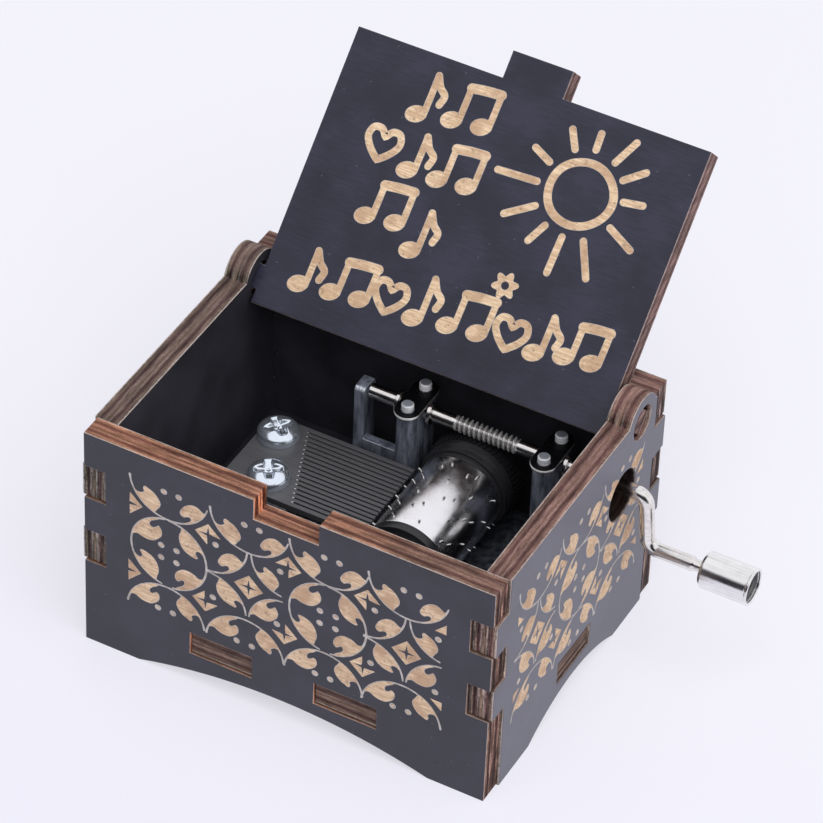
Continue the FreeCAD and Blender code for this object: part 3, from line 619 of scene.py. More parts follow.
# ---------------------------------------------------------------- engraved ornament
# Inner contours of the leaves, in mm from the middle of the arc that each one hangs on. The arc
# closes the outline. A leaf above the middle is the same contour turned by half a turn.
BARB = ((-5.5, -2.3), (-5.15, -2.62), (-4.72, -2.68), (-4.33, -2.45), (-4.26, -2.09), (-4.42, -1.70), (-4.60, -1.36),
        (-4.26, -1.20), (-3.35, -1.41), (-2.56, -1.86), (-1.99, -2.61), (-1.72, -3.52), (-1.72, -4.32), (-1.94, -5.0),
        (-2.05, -5.6))
BARB_SLIM = ((-5.35, -2.8), (-5.0, -3.08), (-4.5, -3.1), (-4.05, -2.86), (-3.8, -2.52), (-3.93, -2.18), (-3.9, -1.85),
             (-3.66, -1.61), (-3.14, -1.84), (-2.45, -2.18), (-1.77, -2.86), (-1.39, -3.66), (-1.48, -4.34),
             (-1.89, -5.02), (-2.2, -5.6))
HOOK = ((5.5, -2.3), (5.25, -2.45), (4.72, -2.45), (4.15, -2.09), (3.47, -1.86), (2.56, -1.86), (1.88, -2.23),
        (1.31, -2.84), (1.08, -3.52), (1.15, -4.05), (1.47, -4.36), (1.76, -4.2), (2.1, -3.93), (2.44, -3.93),
        (2.6, -4.2), (2.56, -4.66), (2.22, -5.11), (1.76, -5.45), (1.3, -5.8))
HOOK_DEEP = ((5.78, -1.35), (5.4, -1.57), (4.99, -1.64), (4.26, -1.41), (3.35, -1.3), (2.56, -1.48), (1.88, -2.0),
             (1.35, -2.68), (1.17, -3.41), (1.31, -3.98), (1.65, -4.48), (1.99, -4.16), (2.49, -3.84), (2.97, -3.95),
             (3.17, -4.41), (2.9, -4.95), (2.26, -5.43), (1.7, -5.75))
HOOK_SLIM = ((5.5, -2.42), (5.15, -2.36), (4.48, -1.89), (3.8, -1.73), (3.0, -2.02), (2.32, -2.64),
             (1.93, -3.32), (1.75, -3.89), (1.93, -4.3), (2.32, -4.45), (2.77, -4.16), (3.23, -4.11), (3.45, -4.45),
             (3.3, -4.9), (2.77, -5.36), (2.2, -5.75))
LEAF_SPANS = {BARB: (248, 202), BARB_SLIM: (246, 206), HOOK: (284, 338), HOOK_DEEP: (288, 347), HOOK_SLIM: (292, 337)}
STEM, DOT = 0.31, 0.52


def smooth_line(points, steps=6):
    """Open Catmull-Rom curve through the points."""
    points = np.asarray(points, float)
    padded = np.vstack([2 * points[0] - points[1], points, 2 * points[-1] - points[-2]])
    t = np.linspace(0, 1, steps, endpoint=False)[None, :, None]
    a, b, c, d = (padded[k:len(padded) - 3 + k, None] for k in range(4))
    curve = 0.5 * (2 * b + (c - a) * t + (2 * a - 5 * b + 4 * c - d) * t ** 2 + (3 * b - a - 3 * c + d) * t ** 3)
    return np.vstack([curve.reshape(-1, 2), points[-1:]])


def ribbon(line, width, start_share=1.0, end_share=1.0):
    """Outline of a stroke: line(s) plus and minus half its width along the normal, with round ends."""
    tangent = unit(np.gradient(line, axis=0))
    normal = np.stack([-tangent[:, 1], tangent[:, 0]], 1)
    half = width / 2 * np.interp(np.arange(len(line)), (0, 3, len(line) - 4, len(line) - 1),
                                 (start_share, 1, 1, end_share))[:, None]
    turn = np.linspace(0, math.pi, 9)[1:-1, None]
    head = line[-1] + half[-1] * (np.cos(turn) * -normal[-1] + np.sin(turn) * tangent[-1])
    tail = line[0] + half[0] * (np.cos(turn) * normal[0] - np.sin(turn) * tangent[0])
    return np.vstack([line - half * normal, head, (line + half * normal)[::-1], tail])


def ellipse(centre, radius_u, radius_v, turn=0.0, count=28):
    angle = full_turn(count)
    u, v = radius_u * np.cos(angle), radius_v * np.sin(angle)
    return np.stack([centre[0] + u * math.cos(turn) - v * math.sin(turn),
                     centre[1] + u * math.sin(turn) + v * math.cos(turn)], 1)


def arc(centre, radii, start, end, count=40):
    angle = np.radians(np.linspace(start, end, count))
    return np.stack([centre[0] + radii[0] * np.cos(angle), centre[1] + radii[1] * np.sin(angle)], 1)


def signed_area(loop):
    after = np.roll(loop, -1, 0)
    return (loop[:, 0] * after[:, 1] - loop[:, 1] * after[:, 0]).sum()


def grown(loop, margin):
    """The outline moved outwards by the margin along its normals. A negative margin moves it in."""
    loop = np.asarray(loop, float)
    along = np.roll(loop, -1, 0) - np.roll(loop, 1, 0)
    along /= np.maximum(np.linalg.norm(along, axis=1), 1e-9)[:, None]
    return loop + np.stack([along[:, 1], -along[:, 0]], 1) * margin * math.copysign(1, signed_area(loop))


def star_diamond(centre, missing=None):
    """A diamond with a four-pointed star cut in it; missing names one quarter that is left out."""
    reach, rise, tip, waist = 2.05, 1.95, 1.5, 0.24
    star = [(tip, 0), (0.7, 0.15), (waist, waist), (0.15, 0.7), (0, tip), (-0.15, 0.7), (-waist, waist),
            (-0.7, 0.15), (-tip, 0), (-0.7, -0.15), (-waist, -waist), (-0.15, -0.7), (0, -tip), (0.15, -0.7),
            (waist, -waist), (0.7, -0.15)]
    if missing is None:
        diamond = [(reach * 1.1, 0), (0, rise * 1.12), (-reach * 1.1, 0), (0, -rise * 1.12)]
        return [np.array(loop) + centre for loop in (diamond, star)]
    loop = [(reach - 0.1, 0.02), (0, rise), (-reach, 0), (-0.12, 0.12 - rise),
            (-0.15, -0.8), (-waist, -waist), (-0.8, -0.15), (-tip, 0), (-0.8, 0.15), (-waist, waist),
            (-0.15, 0.8), (0, tip), (0.15, 0.8), (waist, waist), (0.8, 0.15), (tip, 0.1)]
    flip = {"lower_right": (1, 1), "lower_left": (-1, 1), "upper_right": (1, -1), "upper_left": (-1, -1)}[missing]
    return [np.array(loop) * flip + centre]


class Engraving:
    """Collects flat outlines on one board face and makes thin pieces of them: bare wood inside a
    pale burned rim, and pale lines."""

    def __init__(self, origin, right, up, hole=None):
        self.origin, self.right, self.up = (np.asarray(v, float) for v in (origin, right, up))
        self.out = np.cross(self.right, self.up)
        self.hole = ellipse(hole[:2], hole[2], hole[2], count=64) if hole else None
        self.fills, self.lines = [], []

    def fill(self, *loops, rim=0.08):
        self.fills.append(loops)
        self.lines.append([grown(loops[0], rim)] + [grown(loop, -rim * 0.6) for loop in loops[1:]])

    def line(self, *loops):
        self.lines.append(loops)

    def stem(self, centre, radii, start, end, *shares, width=STEM, count=60):
        """A pale arc between two angles. The shares taper its width at both ends."""
        self.line(ribbon(arc(centre, radii, start, end, count), width, *shares))

    def dot(self, u, v):
        self.line(ellipse((u, v), DOT, DOT))
        self.fills.append([ellipse((u, v), DOT * 0.42, DOT * 0.42, count=12)])

    def leaf(self, centre, contour, radii, side=1):
        """A leaf: its inner contour smoothed, then back along the arc. side -1 turns it half round."""
        scale = np.array([radii[0] / 6.08, radii[1] / 6.2])
        inner = smooth_line(np.array(contour) * scale)
        outer = arc((0, 0), radii, *LEAF_SPANS[contour], count=14)
        self.fill(np.vstack([inner, outer]) * side + centre)

    def sheet(self, loops, height):
        """Triangles inside the first loop and outside the others and the hole."""
        rings = [np.asarray(loop, float) for loop in loops]
        rings = [ring if signed_area(ring) > 0 else ring[::-1] for ring in rings]
        if self.hole is None or np.linalg.norm(rings[0] - self.hole.mean(0), axis=1).min() > 6:
            flat = np.vstack(rings)
            kept = tessellate_polygon([[Vector((*p, 0)) for p in ring] for ring in rings])
            corner = flat[np.array(kept)]
            side, other = corner[:, 1] - corner[:, 0], corner[:, 2] - corner[:, 0]
            area = side[:, 0] * other[:, 1] - side[:, 1] * other[:, 0]
            kept = [t if a > 0 else t[::-1] for t, a in zip(kept, area) if abs(a) > 1e-9]
        else:
            rings.append(self.hole)
            edges = np.cumsum([0] + [len(ring) for ring in rings])
            outlines = [list(range(a, b)) for a, b in zip(edges, edges[1:])]
            flat, _, triangles, _, _, owners = delaunay_2d_cdt(
                [Vector(p) for p in np.vstack(rings)], [], outlines, 1, 1e-6)
            flat = np.array([tuple(p) for p in flat])
            kept = [t for t, owner in zip(triangles, owners) if list(owner) == [0]]
        return self.origin + flat[:, :1] * self.right + flat[:, 1:] * self.up + self.out * height, kept

    def build(self, name, body):
        for suffix, groups, material, lift in (("lines", self.lines, pale_line, 0.010),
                                               ("fills", self.fills, bare_wood, 0.016)):
            points, faces, count = [], [], 0
            for number, loops in enumerate(groups):
                corners, triangles = self.sheet(loops, lift + 0.0006 * (number % 7))
                faces += [[count + corner for corner in triangle] for triangle in triangles]
                points.append(corners)
                count += len(corners)
            piece = mesh_object(name + "_" + suffix, np.vstack(points), faces, material)
            with edited(piece.data) as work:
                loose = [v for v in work.verts if not v.link_faces]
                bmesh.ops.delete(work, geom=loose, context="VERTS")
            settle(piece, body, "black_plywood")


def trellis(board, columns, first_is_round, row_z, slope, left_edge, right_edge):
    """Scroll trellis: round cells and star cells by turns, with open arcs above and below."""
    def row(x):
        return row_z + slope * (x - columns[0])

    for number, x in enumerate(columns):
        z = row(x)
        top, radii = (x + 0.05, z + 12.52), (6.25, 6.2)
        board.stem(top, radii, 184, 345, 1.3, 0.7)
        board.leaf(top, BARB_SLIM, radii)
        board.leaf(top, HOOK_SLIM, radii)
        low, radii = (x - 0.38, z - 12.6), (6.25, 6.15)
        board.stem(low, radii, 8, 172, 1.2, 1.2)
        board.leaf(low, HOOK, radii, -1)
        board.leaf((low[0] + 0.42, low[1]), BARB_SLIM, (5.85, 6.15), -1)
        for u, v in ((-0.78, 11.27), (1.58, 11.27), (-1.68, -11.0), (0.74, -11.0)):
            board.dot(x + u, z + v)
        if (number % 2 == 0) == first_is_round:
            middle, radii = (x + 0.04, z), (6.03, 6.2)
            board.stem(middle, radii, 97, 259, 0.8, 0.8)
            board.stem(middle, radii, -84, 90, 0.8, 0.8, width=STEM * 1.1)
            for contour, side in ((BARB, 1), (HOOK, 1), (BARB, -1), (HOOK_DEEP, -1)):
                board.leaf(middle, contour, radii, side)
            for u in (-1.22, 1.24):
                for v in (1.15, -1.13):
                    board.dot(middle[0] + u, z + v)
            continue
        board.fill(*star_diamond((x + 0.06, z - 0.05)), rim=0.05)
        for (u, v), radii, span, contour, side in (
                ((-6.6, 6.65), (6.35, 6.5), (-90, -5), HOOK_SLIM, 1),
                ((6.04, 6.39), (5.65, 5.75), (183, 261), BARB_SLIM, 1),
                ((-6.8, -5.9), (6.5, 5.8), (88, 4), BARB, -1),
                ((5.8, -6.22), (5.65, 6.0), (94, 173), HOOK_DEEP, -1)):
            board.stem((x + u, z + v), radii, *span, 0.8, 0.9, count=40)
            board.leaf((x + u, z + v), contour, radii, side)
    for number, (x, after) in enumerate(zip(columns, columns[1:])):
        node = (x + after) / 2
        z = row(node)
        side, way = ("right", 1) if (number % 2 == 0) == first_is_round else ("left", -1)
        for u, v, dot_v, half in ((-0.08, 6.65, 5.35, "lower_"), (-0.42, -5.98, -4.7, "upper_")):
            board.fill(*star_diamond((node + u, z + v), half + side), rim=0.05)
            board.dot(node + u + way * 1.2, z + dot_v)
    end_round = (len(columns) % 2 == 1) == first_is_round
    for edge, way, is_round in ((left_edge, 1, first_is_round), (right_edge, -1, end_round)):
        z = row(edge)
        if is_round:
            half = np.array([(0, 1.95), (2.0, 0.05), (0, -2.0), (0, -0.35), (1.35, -0.02), (0, 0.3)])
            board.fill(half * (way, 1) + (edge, z + 6.7), rim=0.05)
            board.fill(half * (way, 1) + (edge - 0.25, z - 5.95), rim=0.05)
        else:
            board.fill(np.array([(0, 1.75), (way * 1.7, 0.05), (0, 0)]) + (edge, z + 6.25), rim=0.05)
            board.fill(np.array([(0, 0), (way * 1.75, 0.05), (0, -1.5)]) + (edge - 0.15, z - 6.65), rim=0.05)
            board.dot(edge + way * 1.15, z + 4.85)
            board.dot(edge + way * 1.25, z - 5.1)


LONG_COLUMNS, SIDE_COLUMNS = (-18.4, -5.68, 6.8, 19.07), (-12.75, -0.1, 12.55)
for name, origin, right, columns, is_round, row_z, slope, edges, hole in (
        ("front", (0, FRONT_Y, 0), (1, 0, 0), LONG_COLUMNS, True, 22.65, -0.0125, (-24.6, 25.0), None),
        ("back", (0, BACK_Y, 0), (-1, 0, 0), LONG_COLUMNS, True, 22.5, 0, (-24.6, 25.0), None),
        ("right", (SIDE_X, 0, 0), (0, 1, 0), SIDE_COLUMNS, False, 21.85, 0, (-18.95, 18.5),
         (CRANK_HOLE_Y, CRANK_HOLE_Z, CRANK_HOLE_R + 0.1)),
        ("left", (-SIDE_X, 0, 0), (0, -1, 0), SIDE_COLUMNS, False, 21.85, 0, (-18.95, 18.5), None)):
    board = Engraving(origin, right, (0, 0, 1), hole)
    trellis(board, columns, is_round, row_z, slope, *edges)
    board.build(name + "_engraving", "box")

# ---------------------------------------------------------------- lid: sun, notes and flowers
lid_up = (0, -math.cos(LID_ANGLE), math.sin(LID_ANGLE))
lid_origin = np.array([0, PIVOT_Y, PIVOT_Z]) + lid_out * PLY / 2
lid_face = Engraving(lid_origin, (1, 0, 0), lid_up)


def stroke(points, width=1.1):
    lid_face.fill(ribbon(smooth_line(points, 10), width), rim=0.06)


def note(u, v, height, tail=True):
    """A single note: slanted head, stem, and a curled tail."""
    lid_face.fill(ellipse((u, v), 1.6, 1.2, 0.35), rim=0.06)
    stem = u + 1.12
    stroke([(stem, v + 0.1), (stem + 0.06, v + height * 0.5), (stem + 0.1, v + height)], 0.92)
    if tail:
        stroke([(stem + 0.1, v + height), (stem + 0.95, v + height - 1.5), (stem + 2.0, v + height - 2.5),
                (stem + 1.7, v + height - 3.9)], 1.0)


def joined_notes(u, v, spread, height):
    for shift in (0, spread):
        note(u + shift, v + shift * 0.1, height, False)
    left, top = u + 1.12, v + height
    stroke([(left + 0.1, top), (left + spread / 2, top + 0.3), (left + spread + 0.1, top + 0.45)], 1.35)


def heart(u, v, size):
    """Open heart drawn in one stroke."""
    half = smooth_line(((0, -2.1), (-1.35, -0.9), (-2.1, 0.35), (-1.75, 1.5), (-0.75, 1.6), (0, 0.75)), 8) * size
    loop = np.vstack([half, half[::-1][1:-1] * (-1, 1)]) + (u, v)
    lid_face.fill(grown(loop, 0.5), grown(loop, -0.5), rim=0.06)


def flower(u, v, radius=1.65, petals=6):
    """Petals r(a) = radius (1 + 0.22 cos(petals a)), with a round hole."""
    angle = full_turn(72)
    reach = radius * (1 + 0.22 * np.cos(petals * angle))
    outline = np.stack([u + reach * np.cos(angle + 0.3), v + reach * np.sin(angle + 0.3)], 1)
    lid_face.fill(outline, ellipse((u, v), 0.62, 0.62), rim=0.06)


around = full_turn(72)
sun = np.array((12.35, 26.65))
outer = sun + np.stack([(5.42 + 0.1 * np.cos(3 * around)) * np.cos(around),
                        (5.12 + 0.08 * np.sin(2 * around)) * np.sin(around)], 1)
lid_face.fill(outer, sun + (outer - sun) * 0.785, rim=0.06)
RAYS = ((9, 6.4, 9.3), (37, 6.4, 9.9), (62, 6.6, 10.7), (92, 6.6, 9.0), (119, 6.5, 9.4), (155, 6.6, 9.6),
        (183, 6.7, 12.8), (213, 6.7, 11.4), (241, 6.6, 9.8), (268, 6.5, 11.9), (296, 6.7, 12.0), (333, 6.6, 11.0))
for degrees, start, end in RAYS:
    way = np.array([math.cos(math.radians(degrees)), math.sin(math.radians(degrees))])
    stroke([sun + way * start, sun + way * (start + end) / 2, sun + way * end], 0.98)

for motif, *values in (
        (note, -15.0, 29.4, 6.2), (joined_notes, -9.7, 30.3, 4.6, 5.2), (heart, -18.0, 23.9, 1.2),
        (note, -13.2, 21.5, 5.4), (joined_notes, -8.5, 21.7, 4.5, 5.0), (joined_notes, -16.6, 13.4, 4.6, 5.0),
        (note, -8.4, 11.0, 6.0), (note, -22.3, 1.0, 5.4), (joined_notes, -17.3, 1.5, 4.5, 4.9),
        (heart, -8.6, 3.9, 1.15), (note, -4.3, 2.2, 6.2), (joined_notes, 0.9, 2.9, 4.6, 5.0),
        (flower, 6.9, 11.0), (heart, 10.2, 5.0, 1.15), (note, 14.3, 3.6, 5.6), (joined_notes, 18.7, 4.6, 4.1, 4.8)):
    motif(*values)
lid_face.build("lid_engraving", "lid_board")

# ---------------------------------------------------------------- movement casting, straps, comb
for node, piece_name, material, bevel, segments, slot in (
        ("movement_frame", "frame_casting", zinc, 0.14, 2, "cast_frame"),
        ("left_bearing_strap", "left_bearing_strap_plate", strap_black, 0.1, 3, "black_steel"),
        ("right_bearing_strap", "right_bearing_strap_plate", strap_black, 0.1, 3, "black_steel"),
        ("comb", "comb_plate", steel, 0.035, 1, "comb_steel")):
    settle(merged_copy(node, piece_name, material, bevel, segments), "box", slot, node)


def pan_head(name, centre, swing, radius=3.14, height=1.95):
    """Pan head: height(r) falls as a part of a superellipse, and a cross recess is pressed in. Its
    floor slopes down from the arms' ends to the middle, and its walls are steep."""
    rings, sides = 72, 160
    reach = np.concatenate([[0], np.linspace(0.03, 1, rings - 1) ** 0.8])
    r, a = np.meshgrid(reach, full_turn(sides), indexing="ij")
    x, y = r * np.cos(a) * radius, r * np.sin(a) * radius
    top = height * (0.30 + 0.70 * (1 - r ** 2.7) ** 0.5)
    swing = math.radians(swing)
    turned_x = x * math.cos(swing) + y * math.sin(swing)
    turned_y = y * math.cos(swing) - x * math.sin(swing)

    def arm(along, across):
        width = 0.78 - 0.13 * np.abs(along)
        inside = 1 / (1 + np.exp((np.abs(across) - width) / 0.07))
        floor = 0.25 + 0.65 * np.clip(1 - np.abs(along) / 2.05, 0, 1)
        return inside * floor / (1 + np.exp((np.abs(along) - 1.95) / 0.1))

    top = top - np.maximum(arm(turned_x, turned_y), arm(turned_y, turned_x))
    top = np.maximum(top, 0.15)
    points = np.stack([x + centre[0], y + centre[1], COMB_TOP + top], -1).reshape(-1, 3)
    rim = points[-sides:].copy()
    rim[:, 2] = COMB_TOP + 0.02
    under = rim.copy()
    under[:, :2] = np.array(centre) + (under[:, :2] - centre) * 0.93
    under[:, 2] = COMB_TOP + 0.005
    points = np.vstack([points, rim, under])
    faces = grid_faces(rings + 2, sides)
    faces.append(list(range(len(points) - sides, len(points)))[::-1])
    return weld(mesh_object(name, points, faces, screw_zinc, 60))


for number, (middle, swing) in enumerate(zip(COMB_SCREWS, (52, 32))):
    settle(pan_head("comb_screw_head_%d" % (number + 1), middle, swing), "box", "plated_screw", "comb_screws")


def root_marks():
    """A small bright mark at the end of each slit: a low dome z = h (1 - r^2) on a disc."""
    rear, front = np.array((-15.51, 9.1)), np.array((-9.46, -6.65))
    share = np.arange(1, NOTES)[:, None] / NOTES
    middles = front + (rear - front) * share
    radii, sides = np.array([0.0, 0.55, 1.0]), 8
    angle = full_turn(sides)
    ring = radii[:, None, None] * np.stack([np.cos(angle), np.sin(angle)], 1) * (0.17, 0.13)
    rise = np.broadcast_to((0.004 + 0.03 * (1 - radii ** 2))[:, None, None], (3, sides, 1))
    dome = np.concatenate([ring, rise], 2).reshape(-1, 3)
    points = dome[None] + np.column_stack([middles - (0.16, 0), np.full(NOTES - 1, COMB_TOP)])[:, None]
    faces = repeated(grid_faces(3, sides), NOTES - 1, 3 * sides)
    marks = mesh_object("comb_root_marks", points.reshape(-1, 3), faces, pin_steel, 60)
    return settle(weld(marks), "box", "comb_steel")


root_marks()

# Bright riveted ends of the casting's studs, drawn over the studs: low domes with a rounded rim.
stud = rounded([(0.0, 0.0), (0.0, 0.93), (0.98, 0.93), (1.22, 0.72), (1.24, 0.0)], 0.14, 5)
for number, x in enumerate(BEARINGS_X):
    for side, word in ((-1, "front"), (1, "rear")):
        top = (x, SHAFT_Y + side * STUD_SPACING / 2, STRAP_TOP)
        cap = turned("stud_cap_%d_%s" % (number + 1, word), stud, top, (0, 0, 1), stud_steel, 48, 60)
        settle(cap, "box", "cast_frame")

for node, material in (("tuning_weights", lead_grey), ("mounting_screws", screw_zinc), ("drum_arbor", pin_steel),
                       ("worm_wheel", wheel_black)):
    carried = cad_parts[node]
    carried.data.materials.clear()
    carried.data.materials.append(material)

# ---------------------------------------------------------------- drum
SHELL_INSIDE, CAP_REAR, FLANGE_FRONT = 5.75, DRUM_FRONT - 0.02, DRUM_REAR + 0.02
for node, piece_name, slot, material, sides, rounding, profile in (
        ("drum_shell", "drum_tube", "nickel", drum_nickel, 192, 0.1,
         [(DRUM_FRONT, SHELL_INSIDE), (DRUM_FRONT, DRUM_RADIUS), (DRUM_REAR, DRUM_RADIUS),
          (DRUM_REAR, SHELL_INSIDE), (DRUM_FRONT, SHELL_INSIDE)]),
        ("drum_front_cap", "drum_cap", "black_plastic", black_plastic, 128, 0.14,
         [(CAP_FRONT + 0.5, 1.0), (CAP_FRONT + 0.5, 4.9), (CAP_FRONT, 5.1), (CAP_FRONT, DRUM_RADIUS),
          (CAP_REAR, DRUM_RADIUS), (CAP_REAR, 1.0), (CAP_FRONT + 0.5, 1.0)]),
        ("drum_rear_flange", "drum_flange", "black_plastic", black_plastic, 160, 0.07,
         [(FLANGE_FRONT, 1.0), (FLANGE_FRONT, 6.55), (9.62, 6.55), (9.66, 6.4), (9.8, 6.4), (9.84, 6.9),
          (FLANGE_STEP + 0.75, 6.9), (10.8, 6.72), (11.0, 6.72), (11.05, 6.9), (FLANGE_REAR, 6.9),
          (FLANGE_REAR, 1.0), (FLANGE_FRONT, 1.0)])):
    piece = turned(piece_name, rounded(profile, rounding), (DRUM_X, 0, DRUM_Z), (0, 1, 0), material, sides)
    settle(piece, "drum", slot, node)


def pins():
    """Each pin is a short bar with a domed end: rings of given radius and height, turned about the
    drum's axis by its beat and moved to its tooth's track."""
    sides = 10
    profile = np.array([(5.95, 0.19), (6.35, 0.19), (6.68, 0.19), (6.78, 0.14), (6.81, 0.0)])
    angle = full_turn(sides)
    ring_y = profile[:, 1, None] * np.cos(angle)
    ring_x = profile[:, 1, None] * np.sin(angle)
    reach = np.repeat(profile[:, :1], sides, 1)
    beat = np.arange(BEATS)
    track = (beat * 7 + (beat // 6) * 5) % NOTES
    turn = -2 * math.pi * (beat + 0.25) / BEATS
    direction = np.stack([np.cos(turn), np.sin(turn)], 1)
    x = DRUM_X + direction[:, 0, None, None] * reach - direction[:, 1, None, None] * ring_x
    z = DRUM_Z + direction[:, 1, None, None] * reach + direction[:, 0, None, None] * ring_x
    y = (COMB_FRONT + (track + 0.5) * NOTE_PITCH)[:, None, None] + ring_y[None]
    points = np.stack([x, np.broadcast_to(y, x.shape), z], -1).reshape(-1, 3)
    faces = repeated(grid_faces(len(profile), sides), BEATS, len(profile) * sides)
    return settle(weld(mesh_object("drum_pin_set", points, faces, pin_steel, 50)), "drum", "pin_steel", "drum_pins")


pins()

# ---------------------------------------------------------------- crank shaft, collars, knob
def bent_path(step):
    """Straight runs and two elbows, sampled evenly by arc length."""
    corners = np.array([(SHAFT_LEFT, SHAFT_Y, SHAFT_Z), (ELBOW_X, SHAFT_Y, SHAFT_Z),
                        (ELBOW_X + LEG_SLANT, SHAFT_Y, KNOB_Z), (KNOB_X, SHAFT_Y, KNOB_Z)])
    points = [corners[:1]]
    for before, corner, after in zip(corners, corners[1:], corners[2:]):
        into, out = unit(corner - before), unit(after - corner)
        turn = math.acos(into @ out)
        bisector, middle = unit(out - into), unit(into + out)
        centre = corner + bisector * ELBOW_RADIUS / math.cos(turn / 2)
        swing = np.linspace(-turn / 2, turn / 2, 25)[:, None]
        points.append(centre - bisector * ELBOW_RADIUS * np.cos(swing) + middle * ELBOW_RADIUS * np.sin(swing))
    points.append(corners[-1:])
    path = np.vstack(points)
    length = np.concatenate([[0], np.cumsum(np.linalg.norm(np.diff(path, axis=0), axis=1))])
    even = np.arange(0, length[-1] + step / 2, step)
    return np.stack([np.interp(even, length, path[:, k]) for k in range(3)], 1)


def crank():
    """Round wire; over the worm its radius is root + (tip - root) w(x / pitch - a / 2 pi), where w is
    a softened cosine wave and a starts at +Y, so the thread winds right-handed along +X and meets
    the wheel as the solid one does."""
    path, sides = bent_path(0.06), 64
    x = path[:, 0, None]
    worm_start, worm_end = DRUM_X - 4.5 * WORM_PITCH, DRUM_X + 8.5 * WORM_PITCH
    on_shaft = path[:, 2, None] > SHAFT_Z - 0.01
    phase = (x - DRUM_X) / WORM_PITCH + 0.25 - full_turn(sides)[None] / (2 * math.pi)
    wave = 0.5 - 0.5 * np.cos(2 * math.pi * phase)
    thread = WORM_ROOT + (WORM_TIP - WORM_ROOT) * wave ** 1.7
    blend = np.clip((x - worm_start) / 0.5, 0, 1) * np.clip((worm_end - x) / 0.5, 0, 1) * on_shaft
    radii = ROD_RADIUS + (thread - ROD_RADIUS) * blend
    inner = np.clip((x - SHAFT_LEFT) / 0.18, 0, 1) * on_shaft + (1 - on_shaft)
    radii = radii * (0.82 + 0.18 * np.sqrt(inner))
    to_knob = np.clip((x - KNOB_X + 1.5) / 0.5, 0, 1) * (1 - on_shaft)
    radii = radii - 0.2 * to_knob * to_knob * (3 - 2 * to_knob)
    rod = swept("crank_rod", path, radii, nickel, sides)
    profile = rounded([(-0.05, 0.0), (-0.05, 0.62), (1.5, 0.62), (1.5, 1.15), (1.95, 1.1), (2.02, 0.0)], 0.12)
    rivet = turned("crank_rivet", profile, (KNOB_X, SHAFT_Y, KNOB_Z), (1, 0, 0), nickel, 40)
    for piece in (rod, rivet):
        settle(piece, "crank", "nickel", "crank_shaft")


crank()

collar = rounded([(-0.3, 1.1), (-0.3, 1.7), (0.3, 1.7), (0.3, 1.1), (-0.3, 1.1)], 0.14, 5)
for number, x in enumerate(COLLARS_X):
    ring = turned("shaft_collar_%d" % (number + 1), collar, (x, SHAFT_Y, SHAFT_Z), (1, 0, 0), nickel, 64, 60)
    settle(ring, "crank", "nickel", "shaft_collars")


def knob_cup():
    """Drawn cup: outside wall, rolled lip, inside wall, floor, and the bore back to the outside."""
    start, length, radius, wall = KNOB_X + 0.3, 7.75, 2.8, 0.45
    profile = rounded([
        (0.0, 0.67), (0.0, 2.35), (0.42, 2.77), (length - 0.62, 2.77), (length - 0.54, 2.69), (length - 0.42, 2.69),
        (length - 0.34, 2.8), (length - 0.1, 2.8), (length, 2.68), (length, 2.52), (length - 0.12, 2.36),
        (length - 0.3, 2.36), (length - 0.36, 2.45), (length - 0.46, 2.45), (length - 0.52, radius - wall),
        (1.0, radius - wall), (0.9, 2.1), (0.9, 0.67), (0.0, 0.67)], 0.11, 5)
    cup = turned("knob_cup", profile, (start, SHAFT_Y, KNOB_Z), (1, 0, 0), knob_nickel, 160, 60)
    cup.data.materials.append(cup_nickel)
    x, y, z = (of_faces(cup, "center") / MM - OFFSET - (start, SHAFT_Y, KNOB_Z)).T
    inside = (np.hypot(y, z) < radius - wall + 0.03) & (x > 0.85) & (x < length - 0.5)
    cup.data.polygons.foreach_set("material_index", inside.astype(int))
    return settle(cup, "knob", "nickel", "crank_knob")


knob_cup()

# ---------------------------------------------------------------- floor, light, camera
scene = bpy.context.scene
scene.view_settings.view_transform = "Standard"

floor_finish = Finish("pale_floor", (0.84, 0.84, 0.95), 0.6)
# painted shadow: the floor's colour darkens towards the front of the box along a noisy edge
fine = floor_finish.clouds(0.02, 2.0)
shadow_edge_sweep = floor_finish.scaled(fine, 16.0, floor_finish.split(floor_finish.moved())[1])
floor_shadow_fade = floor_finish.ramp(shadow_edge_sweep, -70.0, 60.0)
floor_finish.set("Base Color", floor_finish.mix(floor_shadow_fade, (0.77, 0.76, 0.92), (0.90, 0.89, 0.99)))
rays = floor_finish.add("ShaderNodeLightPath").outputs
looked_at = floor_finish.plus(rays["Is Camera Ray"], rays["Is Glossy Ray"])
looked_at = floor_finish.math("ADD", looked_at, rays["Is Transmission Ray"], clamp=True)
glow = floor_finish.add("ShaderNodeEmission", {"Color": (0.945, 0.94, 1.0), "Strength": 1.0})
blend = floor_finish.add("ShaderNodeMixShader", {0: floor_finish.times(looked_at, 0.62),
                                                 1: floor_finish.shader.outputs[0], 2: glow.outputs[0]})
floor_finish.put(floor_finish.tree.nodes["Material Output"].inputs["Surface"], blend.outputs[0])
floor_mesh = bpy.data.meshes.new("floor")
floor_mesh.from_pydata([(-3, -3, 0), (3, -3, 0), (3, 3, 0), (-3, 3, 0)], [], [(0, 1, 2, 3)])
floor_mesh.materials.append(floor_finish.material)
floor = bpy.data.objects.new("floor", floor_mesh)
scene.collection.objects.link(floor)
floor.location.z = -0.00002

world = bpy.data.worlds.new("studio")
scene.world = world
world.use_nodes = True
sky = Nodes(world.node_tree)
background = sky.tree.nodes["Background"]
rays = sky.add("ShaderNodeLightPath").outputs
direction = sky.split(sky.add("ShaderNodeTexCoord").outputs["Generated"])
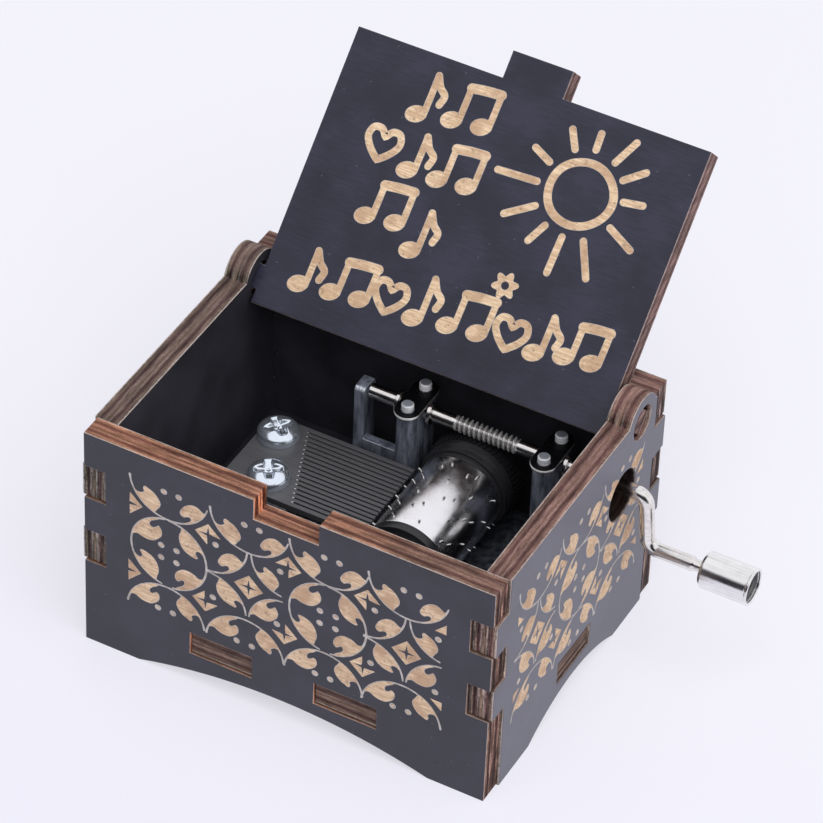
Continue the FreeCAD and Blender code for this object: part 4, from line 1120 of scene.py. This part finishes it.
# Reflections see a white room with one dark band low in front. Diffuse light comes evenly, at a
# third of white, and one softbox, which reflections don't see, adds the rest.
clear = sky.math("MAXIMUM", sky.ramp(direction[2], 0.50, 0.72), sky.ramp(direction[1], -0.55, -0.15))
room = sky.mix(clear, (0.02, 0.02, 0.025), (0.96, 0.96, 1.0))
seen = sky.mix(rays["Is Glossy Ray"], (0.36, 0.36, 0.38), room)
sky.put(background.inputs["Color"], sky.mix(rays["Is Camera Ray"], seen, (0.92, 0.92, 1.0)))

softbox = bpy.data.lights.new("front_softbox", "AREA")
softbox.shape = "RECTANGLE"
softbox.size = softbox.size_y = 2.2
softbox.energy = 38.0
front_light = bpy.data.objects.new("front_softbox", softbox)
scene.collection.objects.link(front_light)
to_light = Vector((0.72, -0.68, 1.62))
front_light.location = Vector(place((0, 0, 20))) + to_light
front_light.rotation_euler = (-to_light).to_track_quat("-Z", "Y").to_euler()
front_light.visible_glossy = False

PICTURE_SIZE, FOCAL_PIXELS = 823, 4968.504
MIDDLE_ACROSS, MIDDLE_DOWN = 417.871, 417.203
TARGET, DISTANCE = (6.261, 0, 39.625), 684.659
AZ, EL, ROLL = (math.radians(v) for v in (26.785, 41.325, 2.685))
back = np.array([math.sin(AZ) * math.cos(EL), -math.cos(AZ) * math.cos(EL), math.sin(EL)])
right = unit(np.cross(-back, [0, 0, 1]))
up = np.cross(right, -back)
image_right = math.cos(ROLL) * right + math.sin(ROLL) * up
image_up = -math.sin(ROLL) * right + math.cos(ROLL) * up
eye = place(TARGET + back * DISTANCE)
camera_data = bpy.data.cameras.new("camera")
camera = bpy.data.objects.new("camera", camera_data)
scene.collection.objects.link(camera)
camera.matrix_world = Matrix([[*map(float, row)] for row in np.vstack([
    np.column_stack([image_right, image_up, back, eye]), [0, 0, 0, 1]])])
camera_data.sensor_fit = "HORIZONTAL"
camera_data.sensor_width = 36
camera_data.lens = FOCAL_PIXELS / PICTURE_SIZE * camera_data.sensor_width
camera_data.shift_x = (PICTURE_SIZE / 2 - MIDDLE_ACROSS) / PICTURE_SIZE
camera_data.shift_y = (MIDDLE_DOWN - PICTURE_SIZE / 2) / PICTURE_SIZE
camera_data.clip_end = 20
scene.camera = camera
